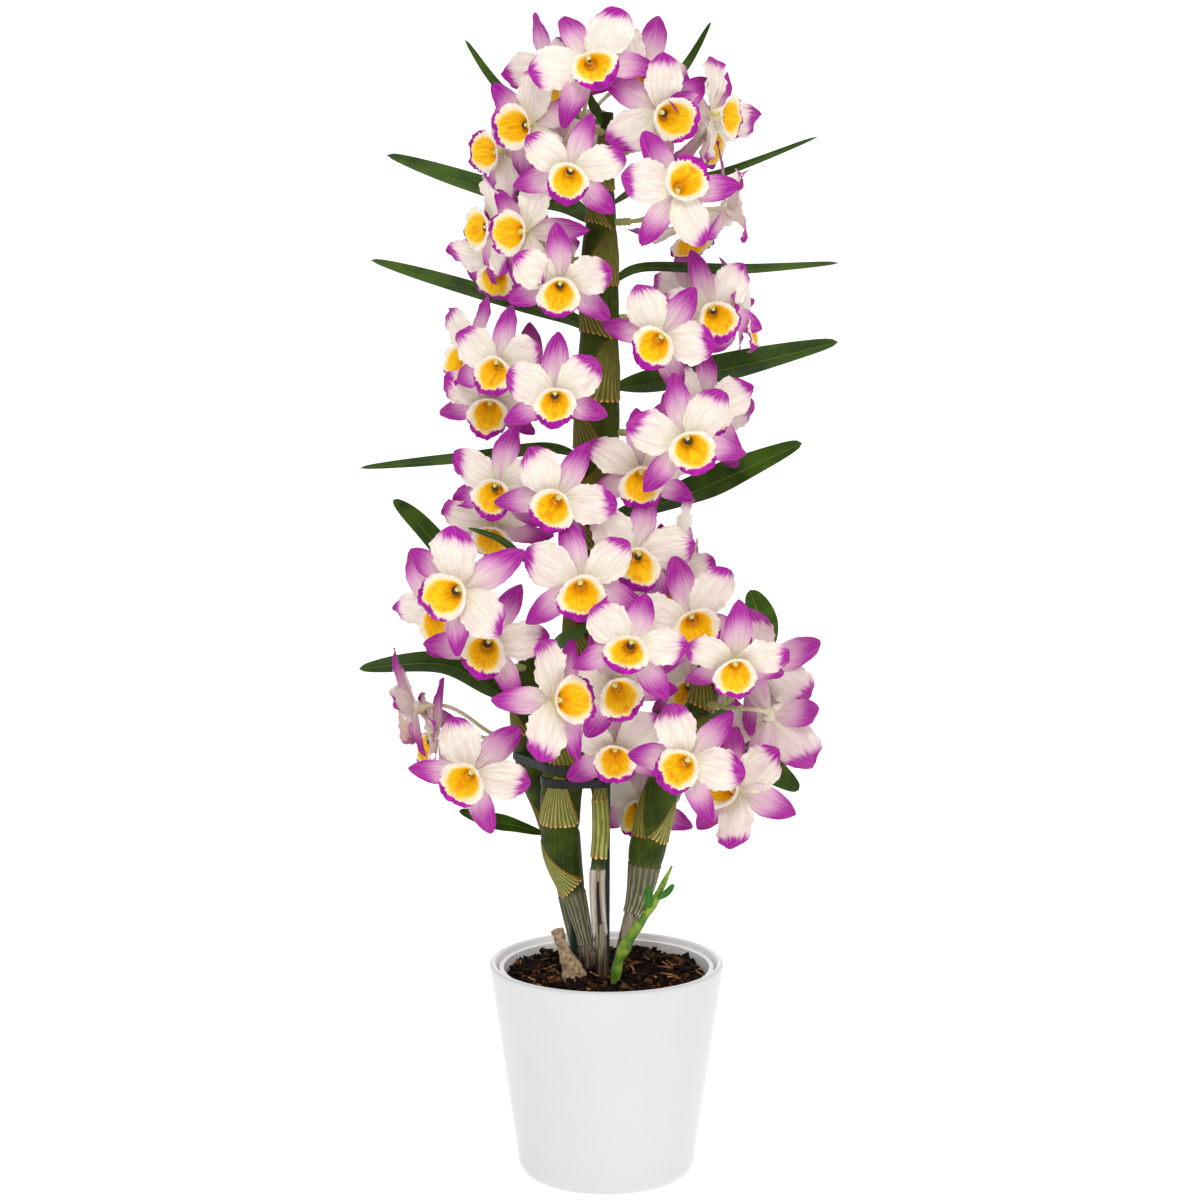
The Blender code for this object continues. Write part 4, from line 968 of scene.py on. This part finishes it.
def tepal(part, draw):
    """Rings of points round a sepal or petal, and their marks."""
    kind = TEPAL_KINDS[part["kind"]]
    along = 1 - (1 - np.linspace(0, 1, kind["rows"])) ** 1.25
    s, u = np.meshgrid(along, np.linspace(-1, 1, kind["columns"] + 1), indexing="ij")
    lean = kind["lean"] + draw.uniform(-0.10, 0.14)
    outline = np.sin(np.pi * np.clip(s, 0, 0.994) ** lean) ** (0.52 + draw.uniform(-0.04, 0.18))
    outline = np.maximum(outline, 0.30 * (1 - s) ** 0.5)
    phases = [draw.uniform(0, 2 * np.pi) for _ in range(5)]

    def ripple(turns, phase, apart):
        """A wave along both edges, which are this far apart in it."""
        return np.sin(2 * np.pi * turns * s + phases[phase] + apart * np.sign(u))

    frill = 0.035 * ripple(3.1, 0, 1.7) + 0.028 * ripple(7.3, 1, 2.1)
    frill += 0.018 * ripple(13.7, 4, 0.7)
    width = part["width"] * draw.uniform(0.84, 1.02)
    half = width / 2 * outline * (1 + frill * kind["frill"])
    reach = 2.0 + (part["length"] * draw.uniform(0.92, 1.02) + HUB_RADIUS - 2.0) * s
    bend = draw.uniform(-0.09, 0.09) * part["length"] * s ** 2
    lift = (part["lift"] + draw.uniform(*kind["spread"])) * reach
    curl = draw.uniform(*kind["curl"]) * s ** 3
    cup = draw.uniform(*kind["cup"]) * half * u ** 2
    edge = np.abs(u) ** 2.5 * s ** 0.7
    broad, fine = kind["waves"]
    wave = edge * (broad * ripple(2.3, 2, 1.9) + fine * np.abs(u) * ripple(6.1, 3, 2.3))
    twist = draw.uniform(-0.30, 0.30) * s * half * u
    groove = 0.45 * np.exp(-(u / 0.12) ** 2) * (1 - s)
    groove += 0.12 * np.cos(u * np.pi * 5) * (1 - u ** 2) * np.sin(np.pi * s)
    front = -HUB_BACK + lift - curl + cup + wave + twist - groove
    thick = BLADE_THICK * (0.18 + 0.82 * (1 - u ** 2)) * (1 - 0.5 * s)
    turn = math.radians(part["angle"] + draw.uniform(-8, 8))
    outward = np.array([math.sin(turn), math.cos(turn), 0])
    sideways = np.array([math.cos(turn), -math.sin(turn), 0])
    flat = reach[..., None] * outward + (half * u + bend)[..., None] * sideways
    flat[..., 1] += HUB_RAISE
    top, under = flat.copy(), flat.copy()
    top[..., 2] = front
    under[..., 2] = front - thick
    own = draw.random() * 0.98
    rings = np.concatenate([top, under[:, ::-1]], axis=1)
    both = np.concatenate([u[0], u[0, ::-1]])
    return rings, (along[:, None], both, own + (np.arange(len(both)) >= len(u[0])))


def lip(draw):
    """Rings of the lip from its throat out to the ruffled rim and back along its outside."""
    angle = round_angles(LIP_COLUMNS)
    phases = [draw.uniform(0, 2 * np.pi) for _ in range(5)]
    low = (1 - np.cos(angle)) / 2
    uneven = 0.035 * np.sin(2 * angle + phases[4]) + 0.03 * np.sin(3 * angle + phases[0])
    broad = np.sin(5 * angle + phases[1]) + 0.7 * np.sin(8 * angle + phases[2])
    crimp = 0.7 * np.sin(15 * angle + phases[3]) + 0.6 * np.sin(26 * angle + phases[0])
    upper = LIP_SHORT_ABOVE * np.maximum(0, np.cos(angle))
    rim_radius = (LIP_RADIUS - 0.6) * (1 + uneven - upper) + 1.2 * low ** 4
    rim_height = LIP_REACH - LIP_TILT * np.cos(angle) + draw.uniform(-0.8, 0.8)
    spout = np.exp(-((angle - np.pi) / 0.8) ** 2)
    sag = draw.uniform(1.6, 4.2) * spout + draw.uniform(0.2, 1.4)
    inner, outer = np.linspace(0, 1, LIP_ROWS) ** 0.9, np.linspace(1, 0, LIP_ROWS // 2 + 1)
    along = np.concatenate([inner, outer])
    walls = LIP_WALL * (np.arange(len(along)) >= LIP_ROWS)
    rings = []
    for t, wall in zip(along, walls):
        start = THROAT_RADIUS + wall
        ruffle = (0.55 + 0.45 * low) * (broad * t ** 2 + crimp * t ** 5)
        radius = start + (rim_radius + 0.28 * ruffle - start) * t
        rise = math.sin(math.pi / 2 * t ** 0.85)
        height = THROAT_DEPTH + (rim_height - THROAT_DEPTH) * rise + 0.72 * ruffle - wall
        height = height - sag * (max(0.0, t - 0.6) / 0.4) ** 2
        middle = 1.8 - (1.8 + LIP_DROP) * t ** 0.8
        across, upward = radius * np.sin(angle), middle + radius * np.cos(angle)
        rings.append(np.stack([across, upward, height], -1))
    own = draw.random() * 0.98 + (walls > 0)
    return np.array(rings), (along[:, None], np.cos(angle), own[:, None])


def ball(centre, radii, rows=7, columns=12):
    """Rings of an egg shape."""
    v, h = np.meshgrid(np.linspace(0, np.pi, rows), round_angles(columns), indexing="ij")
    shape = np.stack([np.sin(v) * np.cos(h), np.sin(v) * np.sin(h), np.cos(v)], -1)
    return np.array(centre) + shape * np.array(radii)


def column(draw):
    """The column over the throat: a short hood with a cap, and under the cap a dark ball of painted
    shade for the hollow, large in some.
    """
    dark = draw.random() < SHADED_THROATS
    hollow = draw.uniform(2.2, 2.8) if dark else draw.uniform(0.8, 1.2)
    line = [(0, 3.8, -3.0), (0, 4.6, -1.0), (0, 4.9, 1.0), (0, 4.4, 2.8)]
    hood = closed_ends(tube_points(line, [1.9, 2.1, 2.0, 1.5], 14))
    return [
        (hood, COLUMN),
        (ball((0, 2.8 - 0.3 * dark, 1.6 + 0.6 * dark), (hollow, hollow * 0.9, 1.2)), HOLLOW_SHADE),
        (ball((0, 3.5 + 0.2 * dark, 2.9 + 0.4 * dark), (1.25, 0.9, 0.8)), CAP),
    ]


def bezier(a, b, c, d, steps):
    t = np.linspace(0, 1, steps + 1)[:, None]
    s = 1 - t
    return a * s ** 3 + b * (3 * s * s * t) + c * (3 * s * t * t) + d * t ** 3


def swung(start, towards, degrees):
    """A direction swung by an angle towards another that stands square to it."""
    angle = math.radians(degrees)
    return start * math.cos(angle) + towards * math.sin(angle)


def bloom_axes(position, yaw, pitch, roll):
    """The bloom's right, dorsal and facing vectors.

    Yaw turns it to the viewer's right, pitch up and roll clockwise, from facing the eye.
    """
    to_eye = (EYE - position).normalized()
    right = UP.cross(to_eye).normalized()
    above = to_eye.cross(right)
    level = swung(to_eye, right, yaw)
    facing = swung(level, above, pitch)
    dorsal = swung(above, -level, pitch).normalized()
    dorsal = swung(dorsal, dorsal.cross(facing), roll)
    return dorsal.cross(facing), dorsal, facing


def bloom(px, py, depth, yaw=0, pitch=0, roll=0, size=1.0):
    """A bloom at a place of the best view, how it is turned, and its size against a full one."""
    return dict(px=px, py=py, depth=depth, yaw=yaw, pitch=pitch, roll=roll, size=size)


# spray_01 to spray_18: the cane, the height of the node and the blooms
SPRAYS = [
    ("main", 130, [
        bloom(592, 66, -44, yaw=-5, pitch=25, roll=-28, size=0.98),
        bloom(553, 82, 2, yaw=-40, pitch=-10, roll=-20, size=0.92),
        bloom(640, 80, 15, yaw=20, roll=30, size=0.92),
    ]),
    ("main", 165, [
        bloom(523, 126, -22, yaw=-30, roll=80, size=0.92),
        bloom(494, 152, 5, yaw=-50, roll=90, size=0.88),
        bloom(569, 176, -57, roll=15, size=0.86),
        bloom(560, 150, 56, yaw=165, size=0.94),
    ]),
    ("main", 150, [
        bloom(667, 116, -30, yaw=15, roll=-62, size=0.96),
        bloom(720, 116, -5, yaw=70, roll=-75, size=0.92),
        bloom(710, 140, 25, yaw=60, pitch=-30, size=0.92),
    ]),
    ("main", 222, [
        bloom(681, 185, -55, yaw=10, roll=-145, size=0.92),
        bloom(733, 212, -5, yaw=90, size=0.92),
        bloom(690, 235, 15, yaw=30, pitch=-60, roll=-20, size=0.92),
    ]),
    ("main", 262, [
        bloom(518, 232, -35, yaw=-35, roll=85, size=0.9),
        bloom(486, 228, -5, yaw=-60, roll=80, size=0.88),
        bloom(497, 272, 10, yaw=-30, pitch=-30, size=0.88),
        bloom(560, 289, -45, yaw=-5, pitch=-10, roll=5, size=0.86),
        bloom(530, 264, 58, yaw=-155, size=0.94),
    ]),
    ("main", 312, [
        bloom(657, 342, -45, roll=38, size=0.9),
        bloom(714, 315, -15, yaw=15, roll=-20, size=0.9),
        bloom(745, 325, 10, yaw=80, size=0.9),
        bloom(694, 310, 60, yaw=152, size=0.94),
    ]),
    ("main", 368, [
        bloom(497, 369, -30, yaw=-25, roll=10, size=0.88),
        bloom(465, 357, 8, yaw=-60, roll=20, size=0.88),
        bloom(490, 408, 4, yaw=-10, pitch=-20, roll=10, size=0.9),
        bloom(555, 400, -58, size=0.86),
        bloom(530, 392, 48, yaw=-170, size=0.94),
    ]),
    ("main", 430, [
        bloom(689, 445, -55, yaw=10, roll=-20, size=0.96),
        bloom(708, 411, -15, yaw=30, pitch=10, roll=15, size=0.92),
        bloom(641, 478, -28, pitch=-15, size=0.92),
        bloom(700, 432, 56, yaw=165, size=0.94),
    ]),
    ("main", 482, [
        bloom(496, 492, -32, yaw=-25, roll=10, size=0.9),
        bloom(555, 504, -55, roll=30, size=0.92),
        bloom(493, 532, -5, yaw=-20, pitch=-40, size=0.9),
    ]),
    ("main", 540, [
        bloom(581, 590, -70, roll=-6),
        bloom(636, 561, -38, yaw=20, roll=10, size=0.98),
    ]),
    ("left", 668, [
        bloom(486, 648, -58, roll=22, size=0.96),
        bloom(453, 593, -86, yaw=-20, roll=62),
        bloom(437, 618, -30, yaw=-40, pitch=-20, roll=-30, size=0.96),
    ]),
    ("left", 730, [
        bloom(412, 714, -14, yaw=-115, pitch=-15, roll=20, size=0.96),
        bloom(432, 744, -22, yaw=-75, pitch=-10, roll=20, size=0.94),
        bloom(467, 778, -60, yaw=-5, roll=38, size=0.94),
    ]),
    ("main", 680, [
        bloom(629, 650, -94, pitch=15, roll=20, size=0.9),
        bloom(563, 700, -78, yaw=35, roll=-90),
        bloom(618, 691, -55, pitch=-10, roll=-27, size=0.94),
    ]),
    ("right", 636, [
        bloom(667, 592, -2, pitch=-20, size=0.92),
        bloom(690, 555, 18, yaw=80, roll=50, size=0.92),
    ]),
    ("right", 700, [
        bloom(735, 668, -62, yaw=5, pitch=-30, size=0.9),
        bloom(760, 671, -14, yaw=160, roll=-60),
        bloom(776, 712, -30, yaw=150, pitch=-10, roll=159),
        bloom(694, 624, -50, yaw=5, pitch=5, roll=-20, size=0.98),
    ]),
    ("right", 750, [
        bloom(683, 765, -75, yaw=-5, roll=45, size=0.94),
        bloom(615, 755, -30, pitch=-15, size=0.88),
        bloom(729, 788, -48, yaw=-30, roll=110, size=0.98),
    ]),
    ("right", 745, [
        bloom(640, 809, 27, yaw=-10, pitch=-20, size=0.9),
        bloom(690, 690, 36, yaw=-20, pitch=-10, size=0.9),
    ]),
    ("main", 590, [
        bloom(612, 575, 52, yaw=180, size=0.94),
    ]),
]


def add_bloom(piece, row, joint, outward, draw):
    """One bloom and its stalk, which runs to the joint on the spray's stem."""
    position = seen(row["px"], row["py"], row["depth"])
    axes = np.array(bloom_axes(position, row["yaw"], row["pitch"], row["roll"]))
    origin = np.array(position)
    unit = MM * row["size"]

    def grown(parts, marks, kind, ends=True):
        piece.tube(origin + parts @ axes * unit, marks, kind, ends)

    for part in TEPALS:
        grown(*tepal(part, draw), part["kind"])
    grown(*lip(draw), LIP)
    for rings, kind in column(draw):
        grown(rings, (0.5, 0, 0), kind, ends=False)

    start = np.array([0, NECK_RAISE, -NECK_BACK])
    end = axes @ (np.array(joint) - origin) / unit
    arrive = axes @ np.array(outward)
    pull = np.linalg.norm(end - start) * PEDICEL_PULL
    line = bezier(start, start - np.array([0, 0, pull]), end + arrive * pull, end, 16)
    hub = np.array([(0, HUB_RAISE, -3.6), (0, HUB_RAISE, -4.8), (0, 1.6, -6.2), (0, 1.4, -7.8)])
    line = np.concatenate([hub, line])
    radii = [4.2, 4.4, 3.7, 2.5, 1.7] + [PEDICEL_RADIUS / row["size"]] * (len(line) - 5)
    rings = closed_ends(tube_points(line, radii, 10))
    grown(rings, (np.linspace(0, 1, len(rings))[:, None], 0, 0), STALK, ends=False)


def sprays():
    paints = [
        tepal_paint("sepal_skin", (238, 230, 208), (240, 218, 218), (216, 136, 198),
                    (174, 4, 160), (0.34, 0.78), (0.58, 0.90), 0.28, 0.14, 0.08, 0.45),
        tepal_paint("petal_skin", (240, 236, 206), (249, 242, 226), (236, 186, 214),
                    (176, 2, 162), (0.68, 0.96), (0.80, 0.94), 0.28, 0.0, 0.13, 0.26),
        lip_paint(),
        speckled_paint("column_skin", (232, 222, 150), (186, 186, 74), 700.0, 0.6),
        speckled_paint("anther_cap", (238, 230, 176), (206, 200, 110), 900.0, 0.7),
        # The hollow under the column, painted as near-black shade
        speckled_paint("column_hollow_shade", (24, 18, 4), (84, 54, 8), 900.0, 0.7),
        pedicel_paint(),
    ]
    for number, (cane_name, node, rows) in enumerate(SPRAYS, 1):
        name = f"spray_{number:02}"
        places = [seen(row["px"], row["py"], row["depth"]) for row in rows]
        root, outward = seat(cane_name, node, sum(places, Vector()) / len(places))
        joint = root + outward * (STEM_LENGTH * MM)
        line = [root.lerp(joint, k / 6) for k in range(7)] + [joint + outward * (2 * MM)]
        radii = np.array([0.85, 0.8, 0.95, 0.8, 0.95, 0.85, 1.0, 0.35]) * STEM_RADIUS * MM
        piece = Piece().tube(tube_points(line, radii, 12), (1.0, 0, 0), STALK)
        for k, row in enumerate(rows):
            draw = random.Random(f"{name} {k}{CLEAR_DRAWS.get(name, '')}")
            add_bloom(piece, row, joint, outward, draw)
        piece.done(name + "_fine", paints, "petal", [name])


# The studio: pale floor and backdrop, soft light, and the camera of the best view

def studio():
    profile = [(-2.4, 0.0), (1.6, 0.0)] + arc((1.6, 0.9), 0.9, -90, 0, 10) + [(2.5, 3.2)]
    points = [(x, y, z) for y, z in profile for x in (-3.6, 3.6)]
    faces = [(2 * k, 2 * k + 1, 2 * k + 3, 2 * k + 2) for k in range(len(profile) - 1)]
    mesh = bpy.data.meshes.new("backdrop")
    mesh.from_pydata(points, [], faces)
    mesh.shade_smooth()
    paint = Paint("backdrop_paper", 0.9, Emission_Color=(1, 1, 1, 1), Emission_Strength=0.35)
    paper = paint.mix(paint.grain(6.0, 2.0), (250, 250, 250), (253, 253, 253))
    paint.fill(paint.shader, {"Base Color": paper})
    mesh.materials.append(paint.material)
    floor = new_object("backdrop", mesh)


def aimed(name, data, place, target):
    """An object that looks from its place to its target."""
    obj = new_object(name, data)
    obj.location = place
    obj.rotation_mode = "QUATERNION"
    obj.rotation_quaternion = (Vector(target) - Vector(place)).to_track_quat("-Z", "Y")
    return obj


def light(name, place, size, power):
    data = bpy.data.lights.new(name, "AREA")
    data.shape = "DISK"
    data.size = size
    data.energy = power
    aimed(name, data, place, LIT_POINT)


def lights():
    world = bpy.data.worlds.new("studio")
    world.use_nodes = True
    background = world.node_tree.nodes["Background"]
    background.inputs["Color"].default_value = (1, 1, 1, 1)
    background.inputs["Strength"].default_value = 0.60
    bpy.context.scene.world = world
    light("key", (-0.1, -2.1, 1.8), 0.7, 18)
    light("fill", (1.7, -1.3, 1.0), 1.4, 3)
    light("top", (0.1, -0.1, 2.2), 1.2, 10)


def camera():
    data = bpy.data.cameras.new("camera")
    data.sensor_width = SENSOR
    data.lens = SENSOR / 2 / math.tan(HALF_ANGLE)
    bpy.context.scene.camera = aimed("camera", data, EYE, AIM)
    bpy.context.scene.view_settings.view_transform = "Standard"


cachepot()
liner()
bark()
canes()
stump()
new_shoot()
stakes()
ties()
leaves()
sprays()
studio()
lights()
camera()
